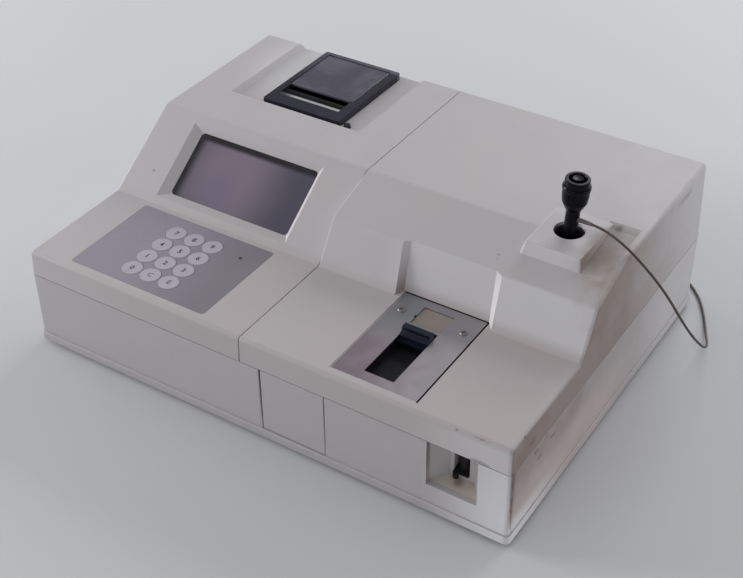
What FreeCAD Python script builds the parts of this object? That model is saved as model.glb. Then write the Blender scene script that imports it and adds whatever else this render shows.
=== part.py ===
import FreeCAD, Part
import math
import os
from FreeCAD import Vector

# Benchtop dry-slide chemistry analyzer, in millimetres.
# X runs to the right, Y to the rear and Z up from the table; the origin is on the table under
# the middle of the housing. Sizes that end in _y are measured rearwards from the front face.

# Housing
body_width = 500.0
body_depth = 380.0
seam_height = 79.3
deck_height = 104.7
crest_height = 162.0
foot_height = 4.5
wall = 3.0
corner_radius = 3.5
edge_radius = 4.0
split_x = -11.0
side_draft = 2.5
front_draft = 1.2
rear_draft = 2.0
seam_gap = 0.8
split_gap = 0.6
lip_height = 8.0
lip_reach = 1.7
lip_edge_share = 0.6

# Slopes of the two covers
slope_foot_y = 121.6
slope_crest_y = 203.4
foot_radius = 4.0
crest_radius = 11.0
riser_crest_y = 147.0
riser_crest_height = 144.0
riser_radius = 6.0
upper_crest_y = 205.0

# Shared allowances
overrun = 6.0
running_gap = 0.4
seat_gap = 0.2
plate_gap = 1.8

front = -body_depth / 2
rear = body_depth / 2
half_width = body_width / 2
slope_rise = crest_height - deck_height
slope_angle = math.degrees(math.atan2(slope_rise, slope_crest_y - slope_foot_y))


def block(x0, x1, y0, y1, z0, z1):
    return Part.makeBox(x1 - x0, y1 - y0, z1 - z0, Vector(x0, y0, z0))


def post(x, y, z0, z1, radius):
    return Part.makeCylinder(radius, z1 - z0, Vector(x, y, z0))


def rod(start, end, radius):
    return Part.makeCylinder(radius, (end - start).Length, start, end - start)


def ring(x, y, z0, z1, outer, inner):
    return post(x, y, z0, z1, outer).cut(post(x, y, z0, z1, inner))


def corner_points(before, corner, after, radius):
    """Start, middle and end of the arc that rounds one corner."""
    u = (before - corner).normalize()
    v = (after - corner).normalize()
    half = u.getAngle(v) / 2
    reach = radius / math.tan(half)
    axis = (u + v).normalize()
    middle = corner + axis * (radius / math.sin(half) - radius)
    return corner + u * reach, middle, corner + v * reach


def outline(points, radii):
    """Closed wire through the points, with each corner rounded by its radius."""
    edges = []
    ends = []
    count = len(points)
    for i, corner in enumerate(points):
        if radii[i] > 0:
            ends.append(corner_points(points[i - 1], corner, points[(i + 1) % count], radii[i]))
        else:
            ends.append((corner, None, corner))
    for i, (first, middle, last) in enumerate(ends):
        if middle is not None:
            edges.append(Part.Arc(first, middle, last).toShape())
        following = ends[(i + 1) % count][0]
        if (following - last).Length > 1e-6 * body_width:
            edges.append(Part.makeLine(last, following))
    return Part.Wire(edges)


def prism(points, radii, reach):
    return Part.Face(outline(points, radii)).extrude(reach)


def rounded_block(x0, x1, y0, y1, z0, z1, radius):
    corners = [Vector(x0, y0, z0), Vector(x1, y0, z0), Vector(x1, y1, z0), Vector(x0, y1, z0)]
    return prism(corners, [radius] * 4, Vector(0, 0, z1 - z0))


def plate_y(x0, x1, z0, z1, y0, y1, radius):
    """Upright plate with rounded corners, facing along Y."""
    corners = [Vector(x0, y0, z0), Vector(x1, y0, z0), Vector(x1, y0, z1), Vector(x0, y0, z1)]
    return prism(corners, [radius] * 4, Vector(0, y1 - y0, 0))


def quad(points):
    return Part.makePolygon([Vector(*p) for p in points] + [Vector(*points[0])])


def quad_loft(lower, upper):
    return Part.makeLoft([quad(lower), quad(upper)], True, True)


def rect(x0, x1, y0, y1, z):
    return [(x0, y0, z), (x1, y0, z), (x1, y1, z), (x0, y1, z)]


def joined(shapes):
    shapes = list(shapes)
    return shapes[0].multiFuse(shapes[1:]).removeSplitter()


def without(shape, cutters):
    for cutter in cutters:
        shape = shape.cut(cutter)
    return shape


def rounded(shape, radius, keep):
    """Fillet the edges whose middle point passes the test."""
    edges = [e for e in shape.Edges if keep(e.valueAt((e.FirstParameter + e.LastParameter) / 2))]
    return shape.makeFillet(radius, edges)


def revolved(profile, x, y):
    """Solid of revolution round the upright axis at x, y from (radius, height) pairs."""
    points = [Vector(x + r, y, z) for r, z in profile]
    closed = Part.makePolygon(points + [points[0]])
    return Part.Face(closed).revolve(Vector(x, y, 0), Vector(0, 0, 1), 360)


def on_slope(shape):
    """Move a shape from a flat layout onto the display slope of the left cover."""
    shape.rotate(Vector(0, 0, 0), Vector(1, 0, 0), slope_angle)
    shape.translate(Vector(0, front + slope_foot_y, deck_height))
    return shape


def save(name, shape):
    if not shape.isValid():
        print("not valid:", name)
    if shape.ShapeType != "Solid" and len(shape.Solids) == 1:
        shape = shape.Solids[0]
    shape.exportStep("parts/" + name + ".step")
    print(name, len(shape.Solids), round(shape.Volume))


# Cover shells

def side_outline(crests, inset, floor_z):
    """Front-to-rear outline of a cover at X zero, moved inwards by inset."""
    points = [(front, floor_z), (front + front_draft, deck_height), (front + slope_foot_y, deck_height)]
    points += crests
    points += [(rear - rear_draft, crest_height), (rear, floor_z)]
    if inset == 0:
        return [Vector(0, y, z) for y, z in points]
    moved = []
    count = len(points)
    for i in range(count):
        (y0, z0), (y1, z1), (y2, z2) = points[i - 1], points[i], points[(i + 1) % count]
        a = Vector(y1 - y0, z1 - z0, 0).normalize()
        b = Vector(y2 - y1, z2 - z1, 0).normalize()
        inward = Vector(a.y + b.y, -a.x - b.x, 0).normalize()
        share = inset / inward.dot(Vector(a.y, -a.x, 0))
        moved.append(Vector(0, y1 + inward.x * share, z1 + inward.y * share))
    return moved


def drafted_sides(left, right, left_draft, right_draft, inset, floor_z):
    """Block whose side walls lean in by their draft from the seam to the crest."""
    top = crest_height + overrun
    lean = (top - seam_height) / (crest_height - seam_height)
    drop = (seam_height - floor_z) / (crest_height - seam_height)
    return quad_loft(
        rect(left + inset - left_draft * drop, right - inset + right_draft * drop,
             front - overrun, rear + overrun, floor_z),
        rect(left + inset + left_draft * lean, right - inset - right_draft * lean,
             front - overrun, rear + overrun, top))


def cover_solid(left, right, left_draft, right_draft, crests, crest_radii):
    radii = [0, edge_radius, foot_radius] + crest_radii + [edge_radius, 0]
    across = Vector(right - left, 0, 0)
    body = prism(side_outline(crests, 0, seam_height + seam_gap / 2), radii, across)
    body.translate(Vector(left, 0, 0))
    return body.common(drafted_sides(left, right, left_draft, right_draft, 0, seam_height))


def cover_hollow(left, right, left_draft, right_draft, crests):
    floor_z = seam_height - wall - overrun
    across = Vector(right - left, 0, 0)
    room = prism(side_outline(crests, wall, floor_z), [0] * (5 + len(crests)), across)
    room.translate(Vector(left, 0, 0))
    return room.common(drafted_sides(left, right, left_draft, right_draft, wall, floor_z))


left_crests = [(front + slope_crest_y, crest_height)]
right_crests = [(front + riser_crest_y, riser_crest_height), (front + upper_crest_y, crest_height)]
split_left = split_x - split_gap / 2
split_right = split_x + split_gap / 2
split_edge_radius = 1.0
fascia_edge_share = 0.8


# Screw posts between the base and the covers, as (x share, y share, cover side)
screw_front_shares = [(-0.44, 0.05), (-0.07, 0.05), (0, 0.05), (0.44, 0.3)]
screw_rear_shares = [-0.44, -0.07, 0.04, 0.44]
screw_rear_inset = 26.6
post_radius = 5.5
screw_radius = 1.6
screw_slack = 0.1
screw_head_radius = 3.4
screw_head_height = 2.4
screw_grip_share = 0.5


def post_places():
    places = [(body_width * x, front + body_depth * y) for x, y in screw_front_shares]
    return places + [(body_width * x, rear - screw_rear_inset) for x in screw_rear_shares]


def cover_bosses(outside, left, right):
    bosses = []
    for x, y in post_places():
        if left < x < right:
            boss = post(x, y, seam_height + seam_gap / 2, crest_height, post_radius).common(outside)
            bosses.append(boss.cut(post(x, y, seam_height, deck_height - wall, screw_radius + screw_slack)))
    return bosses


# Printer bay and printer
bay_left = -206.0
bay_right = -53.5
bay_front_y = 256.0
bay_depth = 5.5
bay_chamfer = 4.5
printer_left = -169.5
printer_right = -80.0
printer_front_y = 259.5
printer_rear_y = 373.5
printer_rise = 1.5
printer_depth = 40.0
printer_radius = 2.0
well_left = -162.0
well_right = -90.5
well_front_y = 275.5
well_rear_y = 366.0
well_floor = 30.0
lid_front_y = 298.5
lid_thickness = 2.2
lid_pin_radius = 1.6
lid_drop = 0.4
lid_pin_reach = 3.0
tear_bar_depth = 5.5
tear_bar_height = 5.0
platen_radius = 7.0
platen_y = 289.0
platen_drop = 9.5
platen_pin_radius = 2.0
platen_pin_reach = 2.5
feed_x = -73.5
feed_y = 265.0
feed_radius = 3.4
feed_height = 3.4
feed_travel = 1.2
bay_floor = crest_height - bay_depth
printer_top = crest_height + printer_rise


def bay_cutter(grow):
    """Room of the printer bay, open at the rear; grow adds the wall round it."""
    top = crest_height + overrun
    corners = [(bay_left - grow, top), (bay_left - grow, crest_height - grow),
               (bay_left + bay_chamfer - grow, bay_floor - grow), (bay_right + grow, bay_floor - grow),
               (bay_right + grow, top)]
    y0 = front + bay_front_y - grow
    points = [Vector(x, y0, z) for x, z in corners]
    return prism(points, [0] * 5, Vector(0, rear + overrun - y0, 0))


def printer_case():
    return rounded_block(printer_left, printer_right, front + printer_front_y, front + printer_rear_y,
                         printer_top - printer_depth, printer_top, printer_radius)


def printer_opening():
    return rounded_block(printer_left - seat_gap, printer_right + seat_gap,
                         front + printer_front_y - seat_gap, front + printer_rear_y + seat_gap,
                         bay_floor - wall - overrun, crest_height + overrun, printer_radius + seat_gap)


def feed_opening():
    return post(feed_x, front + feed_y, bay_floor - wall - overrun, crest_height, feed_radius + running_gap)


# Display in the slope, in the slope's own flat layout: s runs up the slope from its foot
bezel_left = -204.0
bezel_right = -53.0
bezel_low = 8.0
bezel_high = 89.5
glass_left = -193.0
glass_right = -57.2
glass_low = 16.0
glass_high = 84.3
bezel_depth = 3.5
frame_depth = 6.0
glass_thickness = 2.0
glass_drop = 0.3
module_depth = 9.0
module_margin = 5.0
glass_radius = 4.0


def bezel_cutter():
    return on_slope(quad_loft(
        rect(glass_left, glass_right, glass_low, glass_high, -bezel_depth),
        rect(bezel_left * 2 - glass_left, bezel_right * 2 - glass_right,
             bezel_low * 2 - glass_low, bezel_high * 2 - glass_high, bezel_depth)))


def glass_opening():
    return on_slope(rounded_block(glass_left, glass_right, glass_low, glass_high,
                                  -frame_depth - wall - overrun, 0, glass_radius))


def bezel_surround():
    """Thicker stretch of the slope that carries the bezel and the display."""
    return on_slope(block(bezel_left - wall, bezel_right + wall, bezel_low - wall, bezel_high + wall,
                          -frame_depth, crest_height))


def display_window():
    top = -bezel_depth - glass_drop
    return on_slope(rounded_block(glass_left + seat_gap, glass_right - seat_gap, glass_low + seat_gap,
                                  glass_high - seat_gap, top - glass_thickness, top, glass_radius))


def display_module():
    case = block(glass_left - module_margin, glass_right + module_margin, glass_low - module_margin,
                 glass_high + module_margin, -frame_depth - module_depth, -frame_depth)
    step = block(glass_left + module_margin, glass_right - module_margin, glass_low + module_margin,
                 glass_high - module_margin, -frame_depth, -bezel_depth - glass_drop - glass_thickness)
    return on_slope(case.fuse(step).removeSplitter())


# Keypad on the left deck
pad_left = -206.5
pad_right = -55.7
pad_front_y = 10.2
pad_rear_y = 115.6
pad_radius = 3.0
pad_thickness = 1.0
key_pitch = 21.0
key_radius = 9.7
key_x = -151.8
key_front_y = 30.6
key_columns = 3
key_rows = 4
key_gap = 0.3
key_rise = 0.3
key_depth = 0.6
key_travel = 0.6
key_room = 1.4
key_edge = 0.25
backer_thickness = 3.0
backer_margin = 1.0
lamp_x = -77.8
lamp_y = 93.6
lamp_radius = 1.8
key_names = ["key_0", "key_clear", "key_enter", "key_1", "key_2", "key_3",
             "key_4", "key_5", "key_6", "key_7", "key_8", "key_9"]


def key_places():
    for row in range(key_rows):
        for column in range(key_columns):
            yield key_x + key_pitch * column, front + key_front_y + key_pitch * row


def key_field(margin, z0, z1):
    """Block round all the keys, with a margin."""
    reach = key_radius + key_gap + margin
    return block(key_x - reach, key_x + key_pitch * (key_columns - 1) + reach,
                 front + key_front_y - reach,
                 front + key_front_y + key_pitch * (key_rows - 1) + reach, z0, z1)


def keypad_overlay():
    low = deck_height - pad_thickness
    sheet = rounded_block(pad_left, pad_right, front + pad_front_y, front + pad_rear_y, low,
                          deck_height, pad_radius)
    holes = [post(x, y, low, deck_height, key_radius + key_gap) for x, y in key_places()]
    holes.append(post(lamp_x, front + lamp_y, low, deck_height, lamp_radius + seat_gap))
    return without(sheet, holes)


def keypad_backer():
    top = deck_height - pad_thickness
    board = key_field(backer_margin, top - backer_thickness, top)
    pockets = [post(x, y, top - key_room, top, key_radius + key_gap) for x, y in key_places()]
    return without(board, pockets)


def key(x, y):
    low = deck_height - pad_thickness - key_depth
    body = post(x, y, low, deck_height + key_rise, key_radius)
    return rounded(body, key_edge, lambda p: p.z > deck_height)


def status_lamp():
    low = deck_height - pad_thickness
    lens = post(lamp_x, front + lamp_y, low - backer_thickness, deck_height + key_rise, lamp_radius)
    return rounded(lens, key_edge, lambda p: p.z > deck_height)


def left_cover():
    solid = cover_solid(-half_width, split_left, side_draft, 0, left_crests, [crest_radius])
    limit = -half_width + side_draft + seam_gap
    solid = rounded(solid, corner_radius, lambda p: p.x < limit and p.z > seam_height + seam_gap)
    solid = rounded(solid, split_edge_radius,
                    lambda p: abs(p.x - split_left) < split_gap / 4 and p.z > seam_height + seam_gap)
    room = cover_hollow(-half_width, split_left, side_draft, 0, left_crests)
    room = without(room, [bay_cutter(wall), bezel_surround()])
    cover = solid.cut(room)
    bosses = [b.cut(bay_cutter(0)) for b in cover_bosses(solid, -half_width, split_left)]
    cover = joined([cover] + bosses)
    lamp_hole = post(lamp_x, front + lamp_y, deck_height - wall - overrun, deck_height,
                     lamp_radius + seat_gap)
    pad = rounded_block(pad_left - seat_gap, pad_right + seat_gap, front + pad_front_y - seat_gap,
                        front + pad_rear_y + seat_gap, deck_height - pad_thickness,
                        deck_height + overrun, pad_radius + seat_gap)
    keys = key_field(backer_margin + seat_gap, deck_height - wall - overrun, deck_height)
    return without(cover, [bay_cutter(0), bezel_cutter(), glass_opening(), pad, keys, lamp_hole,
                           printer_opening(), feed_opening()])


# Printer pieces

def printer_housing():
    well = block(well_left, well_right, front + well_front_y, front + well_rear_y,
                 printer_top - well_floor, printer_top + overrun)
    lid_seat = block(well_left - lid_pin_radius, well_right + lid_pin_radius,
                     front + lid_front_y - running_gap, front + well_rear_y + lid_pin_radius * 2,
                     printer_top - lid_thickness - lid_drop * 2, printer_top + overrun)
    pin_hole = rod(Vector(well_left - platen_pin_reach - running_gap, front + platen_y, platen_z()),
                   Vector(well_right + platen_pin_reach + running_gap, front + platen_y, platen_z()),
                   platen_pin_radius + running_gap / 4)
    lid_holes = rod(Vector(well_left - lid_pin_reach - running_gap, lid_axis_y(), lid_axis_z()),
                    Vector(well_right + lid_pin_reach + running_gap, lid_axis_y(), lid_axis_z()),
                    lid_pin_radius + running_gap / 4)
    bar = block(well_left, well_right, front + well_front_y, front + well_front_y + tear_bar_depth,
                printer_top - tear_bar_height, printer_top)
    return without(printer_case(), [well.fuse(bar), lid_seat, pin_hole, lid_holes])


def lid_axis_y():
    return front + well_rear_y + lid_pin_radius - lid_pin_radius / 2


def lid_axis_z():
    return printer_top - lid_drop - lid_pin_radius


def platen_z():
    return printer_top - platen_drop


def printer_lid():
    gap = running_gap
    left = well_left - lid_pin_radius + gap
    right = well_right + lid_pin_radius - gap
    top = printer_top - lid_drop
    sheet = block(left, right, front + lid_front_y, lid_axis_y(), top - lid_thickness, top)
    sheet = rounded(sheet, lid_thickness / 4, lambda p: p.z > top - lid_thickness / 4)
    barrel = rod(Vector(left, lid_axis_y(), lid_axis_z()), Vector(right, lid_axis_y(), lid_axis_z()),
                 lid_pin_radius)
    pins = rod(Vector(well_left - lid_pin_reach, lid_axis_y(), lid_axis_z()),
               Vector(well_right + lid_pin_reach, lid_axis_y(), lid_axis_z()), lid_pin_radius)
    return joined([sheet, barrel, pins])


def tear_bar():
    y0 = front + well_front_y
    body = block(well_left + seat_gap, well_right - seat_gap, y0, y0 + tear_bar_depth / 3,
                 printer_top - tear_bar_height, printer_top - lid_drop)
    blade = quad_loft(rect(well_left + seat_gap, well_right - seat_gap, y0, y0 + tear_bar_depth / 3,
                           printer_top - tear_bar_height / 2),
                      rect(well_left + seat_gap, well_right - seat_gap, y0 + tear_bar_depth / 3,
                           y0 + tear_bar_depth, printer_top - lid_drop))
    return body.fuse(blade).removeSplitter()


def platen_roller():
    y = front + platen_y
    roll = rod(Vector(well_left + running_gap, y, platen_z()),
               Vector(well_right - running_gap, y, platen_z()), platen_radius)
    pin = rod(Vector(well_left - platen_pin_reach, y, platen_z()),
              Vector(well_right + platen_pin_reach, y, platen_z()), platen_pin_radius)
    return roll.fuse(pin).removeSplitter()


def feed_button():
    cap = post(feed_x, front + feed_y, bay_floor - wall, bay_floor + feed_height, feed_radius)
    flange = post(feed_x, front + feed_y, bay_floor - wall * 2, bay_floor - wall - seat_gap,
                  feed_radius + feed_travel)
    cap = rounded(cap, feed_travel / 2, lambda p: p.z > bay_floor + feed_height - feed_travel / 2)
    return cap.fuse(flange).fuse(post(feed_x, front + feed_y, bay_floor - wall - seat_gap,
                                      bay_floor, feed_radius)).removeSplitter()


# Right cover: riser recess, slide plate, pedestal
recess_low_left = 69.6
recess_low_inner_left = 73.4
recess_low_inner_right = 157.6
recess_low_right = 164.6
recess_high_left = 62.2
recess_high_inner_left = 68.8
recess_high_inner_right = 153.0
recess_high_right = 159.6
recess_foot_y = 130.8
recess_crest_y = 149.5
plate_left = 75.0
plate_right = 157.2
plate_front_y = 10.6
plate_rear_y = 129.3
plate_thickness = 1.5
plate_sink = 0.4
plate_groove = 1.6
slot_left = 101.2
slot_right = 129.7
slot_front_y = 22.0
slot_rear_y = 92.6
window_left = 100.6
window_right = 130.2
window_front_y = 95.2
window_rear_y = 120.2
window_notch_y = 105.0
window_notch_depth = 1.6
plate_screw_y = 106.4
plate_screw_inset = 10.5
guide_margin = 5.0
guide_depth = 12.0
guide_floor = 3.0
guide_flange = 1.5
pusher_front_y = 76.0
pusher_rear_y = 87.0
pusher_slab_front_y = 73.0
pusher_slab_rear_y = 89.0
pusher_slab_height = 3.0
pusher_rise = 6.4
pusher_bar_depth = 6.2
pusher_bar_height = 3.4
pusher_bar_lean = 0.6
bed_drop = 1.0
slide_thickness = 1.3
holder_inset = 61.0
holder_y = 211.0
hole_radius = 13.8
boss_radius = 18.5
boss_depth = 19.0
pedestal_reach_left = 25.0
pedestal_reach_right = 26.6
pedestal_flare = 3.5
pedestal_rise = 1.6
pedestal_front_y = 177.5
pedestal_foot_y = 172.2
pedestal_foot_drop = 11.0
pedestal_rear_y = 242.0
pedestal_fade = 12.0
pedestal_round = 1.5
pocket_inset = 12.0
pocket_slope = 3.0
pocket_rear_y = 238.0
pocket_rear_run = 7.0
pocket_depth = 9.8
pocket_rear_depth = 2.8
holder_x = half_width - holder_inset
boss_low = crest_height - boss_depth
pedestal_height = crest_height + pedestal_rise
pedestal_left = holder_x - pedestal_reach_left
pedestal_right = holder_x + pedestal_reach_right
pocket_right = half_width - pocket_inset


def riser_recess(grow):
    """Cutter for the shallow centre recess of the riser, deepest at its foot."""
    reach = (riser_crest_height + overrun - deck_height) / (riser_crest_height - deck_height)
    y_low, y_high = front + slope_foot_y, front + riser_crest_y
    back_low, back_high = front + recess_foot_y + grow, front + recess_crest_y + grow
    levels = []
    for share, z in ((0, deck_height), (reach, riser_crest_height + overrun)):
        def between(low, high):
            return low + (high - low) * share
        y = between(y_low, y_high)
        y_back = between(back_low, back_high)
        y_fore = y - overrun * 2
        left = between(recess_low_left, recess_high_left) - grow
        inner_left = between(recess_low_inner_left, recess_high_inner_left) - grow
        inner_right = between(recess_low_inner_right, recess_high_inner_right) + grow
        right = between(recess_low_right, recess_high_right) + grow
        levels.append(quad([(left, y, z), (inner_left, y_back, z), (inner_right, y_back, z), (right, y, z),
                            (right + overrun, y_fore, z), (left - overrun, y_fore, z)]))
    return Part.makeLoft(levels, True, True)


def plate_recess():
    """Seat of the steel plate, with a groove along its right and rear edges."""
    x0, x1 = plate_left - seat_gap, plate_right + plate_gap
    y0, y1 = front + plate_front_y - seat_gap, front + plate_rear_y + plate_gap
    low, bed = plate_bed() - plate_groove, plate_bed()
    return joined([block(x0, x1, y0, y1, bed, deck_height + seat_gap),
                   block(plate_right - running_gap, x1, y0, y1, low, bed),
                   block(x0, x1, front + plate_rear_y - running_gap, y1, low, bed)])


def plate_bed():
    return deck_height - plate_sink - plate_thickness


def guide_box(gap, z0, z1):
    return block(slot_left - guide_margin - gap, slot_right + guide_margin + gap,
                 front + slot_front_y - guide_margin - gap, front + window_rear_y + guide_margin + gap,
                 z0, z1)


def pedestal():
    """Raised pad round the pipettor's hole, whose top runs out into the flat top at the rear."""
    low = crest_height - pedestal_foot_drop - wall
    rear_y = front + pedestal_rear_y
    fade_y = rear_y - pedestal_fade
    left, right = pedestal_left - pedestal_flare, pedestal_right + pedestal_flare
    body = quad_loft(rect(left, right, front + pedestal_foot_y, rear_y, low),
                     rect(pedestal_left, pedestal_right, front + pedestal_front_y, rear_y, pedestal_height))
    side = [(front, low), (front, pedestal_height), (fade_y, pedestal_height), (rear_y, crest_height),
            (rear_y, low)]
    profile = [Vector(left, y, z) for y, z in side]
    body = body.common(prism(profile, [0] * len(side), Vector(right - left, 0, 0)))
    foot = low + wall
    return rounded(body, pedestal_round,
                   lambda p: p.y < rear_y - seat_gap and abs(p.y - fade_y) > seat_gap and p.z > foot)


def side_pocket(grow):
    """Shallow trough beside the pedestal, where the cord leads off; its floor rises to the rear."""
    top = crest_height + overrun
    low = crest_height - pocket_depth - grow
    high = crest_height - pocket_rear_depth - grow
    left = pedestal_right - wall - grow
    y0 = front + pedestal_foot_y - grow
    y1 = front + pocket_rear_y + grow
    y2 = y1 + pocket_rear_run * (top - high) / pocket_rear_depth

    def right_at(z):
        return pocket_right + grow + pocket_slope * (z - low) / pocket_depth
    return quad_loft(
        [(left, y0, low), (right_at(low), y0, low), (right_at(high), y1, high), (left, y1, high)],
        [(left, y0, top), (right_at(top), y0, top), (right_at(top), y2, top), (left, y2, top)])


def right_cover():
    solid = cover_solid(split_right, half_width, 0, side_draft, right_crests, [riser_radius, crest_radius])
    limit = half_width - side_draft - seam_gap
    solid = rounded(solid, corner_radius, lambda p: p.x > limit and p.z > seam_height + seam_gap)
    solid = rounded(solid, split_edge_radius,
                    lambda p: abs(p.x - split_right) < split_gap / 4 and p.z > seam_height + seam_gap)
    room = cover_hollow(split_right, half_width, 0, side_draft, right_crests)
    bosses = cover_bosses(solid, split_right, half_width)
    hole_boss = post(holder_x, front + holder_y, boss_low, crest_height - wall / 2, boss_radius)
    thick_deck = block(plate_left - wall, plate_right + plate_gap + wall, front + plate_front_y - wall,
                       front + recess_foot_y + wall, plate_bed() - wall, deck_height)
    room = without(room, [riser_recess(wall), side_pocket(wall), hole_boss, thick_deck])
    cover = joined([solid.cut(side_pocket(0)), pedestal()]).cut(room)
    cover = joined([cover] + [b.cut(side_pocket(0)) for b in bosses])
    hole = post(holder_x, front + holder_y, boss_low - overrun, crest_height + overrun, hole_radius)
    deck_hole = guide_box(seat_gap, plate_bed() - wall - overrun, deck_height)
    screw_holes = [post(x, y, plate_bed() - wall, plate_bed(), screw_radius + screw_slack)
                   for x, y in plate_screw_places()]
    return without(cover, [riser_recess(0), plate_recess(), deck_hole, hole] + screw_holes)


def plate_window():
    z0, z1 = plate_bed() - overrun, deck_height + overrun
    body = block(window_left, window_right, front + window_front_y, front + window_rear_y, z0, z1)
    notch = post(window_left, front + window_notch_y, z0, z1, window_notch_depth)
    return body.fuse(notch)


def plate_slot():
    return rounded_block(slot_left, slot_right, front + slot_front_y, front + slot_rear_y,
                         plate_bed() - overrun, deck_height + overrun, seat_gap * 3)


def plate_screw_places():
    return [(plate_left + plate_screw_inset, front + plate_screw_y),
            (plate_right - plate_screw_inset, front + plate_screw_y)]


def slide_plate():
    sheet = rounded_block(plate_left, plate_right, front + plate_front_y, front + plate_rear_y,
                          plate_bed(), plate_bed() + plate_thickness, seat_gap * 4)
    holes = [post(x, y, plate_bed(), deck_height, screw_radius + seat_gap) for x, y in plate_screw_places()]
    return without(sheet, [plate_slot(), plate_window()] + holes)


def plate_screws():
    screws = []
    for x, y in plate_screw_places():
        seat = plate_bed() + plate_thickness
        shank = post(x, y, seat - wall, seat, screw_radius)
        head = post(x, y, seat, seat + screw_head_height / 2, screw_head_radius)
        dome = rounded(head, screw_head_height / 3, lambda p: p.z > seat + screw_head_height / 4)
        cross = [block(x - screw_radius, x + screw_radius, y - seat_gap * 2, y + seat_gap * 2,
                       seat + screw_head_height / 6, deck_height + overrun),
                 block(x - seat_gap * 2, x + seat_gap * 2, y - screw_radius, y + screw_radius,
                       seat + screw_head_height / 6, deck_height + overrun)]
        screws.append(without(dome.fuse(shank).removeSplitter(), cross))
    return Part.makeCompound(screws)


def slide_guide():
    """Black guide under the plate: a channel for the pusher and a bed for the slide."""
    top = plate_bed()
    body = guide_box(0, top - guide_depth, top)
    channel = block(slot_left, slot_right, front + slot_front_y, front + window_front_y,
                    top - guide_depth + guide_floor, top + overrun)
    bed = block(window_left, window_right, front + window_front_y - overrun, front + window_rear_y,
                bed_top(), top + overrun)
    ledges = [block(slot_left - guide_margin / 2, slot_right + guide_margin / 2,
                    front + slot_front_y - guide_margin / 2, front + window_front_y,
                    pusher_floor(), pusher_floor() + pusher_slab_height + running_gap * 2)]
    return without(body, [channel, bed] + ledges)


def bed_top():
    return plate_bed() + plate_thickness - bed_drop - slide_thickness


def pusher_floor():
    return plate_bed() - pusher_slab_height - running_gap * 4


def slide_bed():
    return block(window_left + seat_gap, window_right - seat_gap, front + window_front_y,
                 front + window_rear_y - seat_gap, bed_top(), bed_top() + slide_thickness)


def slide_pusher():
    """Slab that runs in the guide, with the finger tab that stands through the plate."""
    gap = running_gap
    left, right = slot_left + gap, slot_right - gap
    low = pusher_floor() + gap / 4
    slab = block(slot_left - guide_margin / 2 + gap, slot_right + guide_margin / 2 - gap,
                 front + pusher_slab_front_y, front + pusher_slab_rear_y,
                 low, low + pusher_slab_height)
    tab_top = plate_bed() + plate_thickness + pusher_rise
    bar_y = pusher_rear_y - pusher_bar_depth
    side = [(pusher_front_y, low), (pusher_rear_y, low), (pusher_rear_y, tab_top), (bar_y, tab_top),
            (bar_y - pusher_bar_lean, tab_top - pusher_bar_height),
            (pusher_front_y + gap, deck_height + seat_gap)]
    points = [Vector(left, front + y, z) for y, z in side]
    soft = seat_gap * 3
    tab = prism(points, [0, 0, soft, soft, soft, soft], Vector(right - left, 0, 0))
    return joined([slab, tab])


# Pipettor holder, a cup that hangs from the cover's boss
holder_wall = 2.0
holder_bore = 11.4
holder_flange = 2.5
holder_flange_reach = 4.0
holder_top_drop = 3.0
holder_cone = 5.0
holder_seat_radius = 6.5


def pipettor_holder():
    outer = hole_radius - seat_gap
    top = pedestal_height - holder_top_drop
    low_outer = holder_bore + holder_wall
    profile = [(0, holder_bottom - holder_wall), (low_outer, holder_bottom - holder_wall),
               (low_outer, boss_low - holder_flange),
               (hole_radius + holder_flange_reach, boss_low - holder_flange),
               (hole_radius + holder_flange_reach, boss_low), (outer, boss_low),
               (outer, top), (holder_bore + holder_wall / 2, top), (holder_bore, top - holder_cone),
               (holder_bore, holder_bottom + holder_cone),
               (holder_seat_radius, holder_bottom), (0, holder_bottom)]
    return revolved(profile, holder_x, front + holder_y)


# Pipettor, drawn upright and then leaned against the rim of its holder
pipettor_lean = 2.9
lean_height = 150.0
pipettor_rise = 53.8
stem_radius = 6.2
neck_drop = 33.5
neck_height = 11.0
barrel_radius = 11.8
ring_drop = 10.5
ring_height = 4.1
ring_reach = 0.5
cap_radius = 10.7
cap_bore = 7.6
cap_bore_depth = 5.6
button_radius = 4.8
button_rise = 0.6
button_stem_radius = 2.4
button_travel = 3.6
nozzle_tip_radius = 1.9
nozzle_mid_radius = 3.4
nozzle_foot = 100.4
nozzle_cone_height = 12.6
nozzle_collar_height = 15.0
nozzle_collar = 5.2
nozzle_bore = 0.9
gland_drop = 6.5
gland_length = 19.0
gland_root_radius = 2.4
gland_tip_radius = 1.6
gland_core_share = 0.9
gland_grooves = 4
gland_heading = -6.0
gland_slope = 2.0
nozzle_mid_height = nozzle_foot + nozzle_cone_height
stem_foot = nozzle_mid_height + nozzle_collar_height
holder_bottom = nozzle_foot - running_gap
pipettor_top = pedestal_height + pipettor_rise
stem_top = pipettor_top - neck_drop
barrel_low = stem_top + neck_height
ring_low = pipettor_top - ring_drop
ring_high = ring_low + ring_height
gland_height = stem_top - gland_drop

# Swell of the neck as (share of the step from stem to barrel, share of the neck's height), and
# of the barrel as (share of its radius, share of the way up to the ring)
neck_shares = [(0.12, 0.25), (0.5, 0.6)]
barrel_shares = [(0.93, 0), (0.985, 0.5)]


def leaned(shape):
    shape.rotate(Vector(holder_x, front + holder_y, lean_height), Vector(0, 1, 0), pipettor_lean)
    return shape


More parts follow.
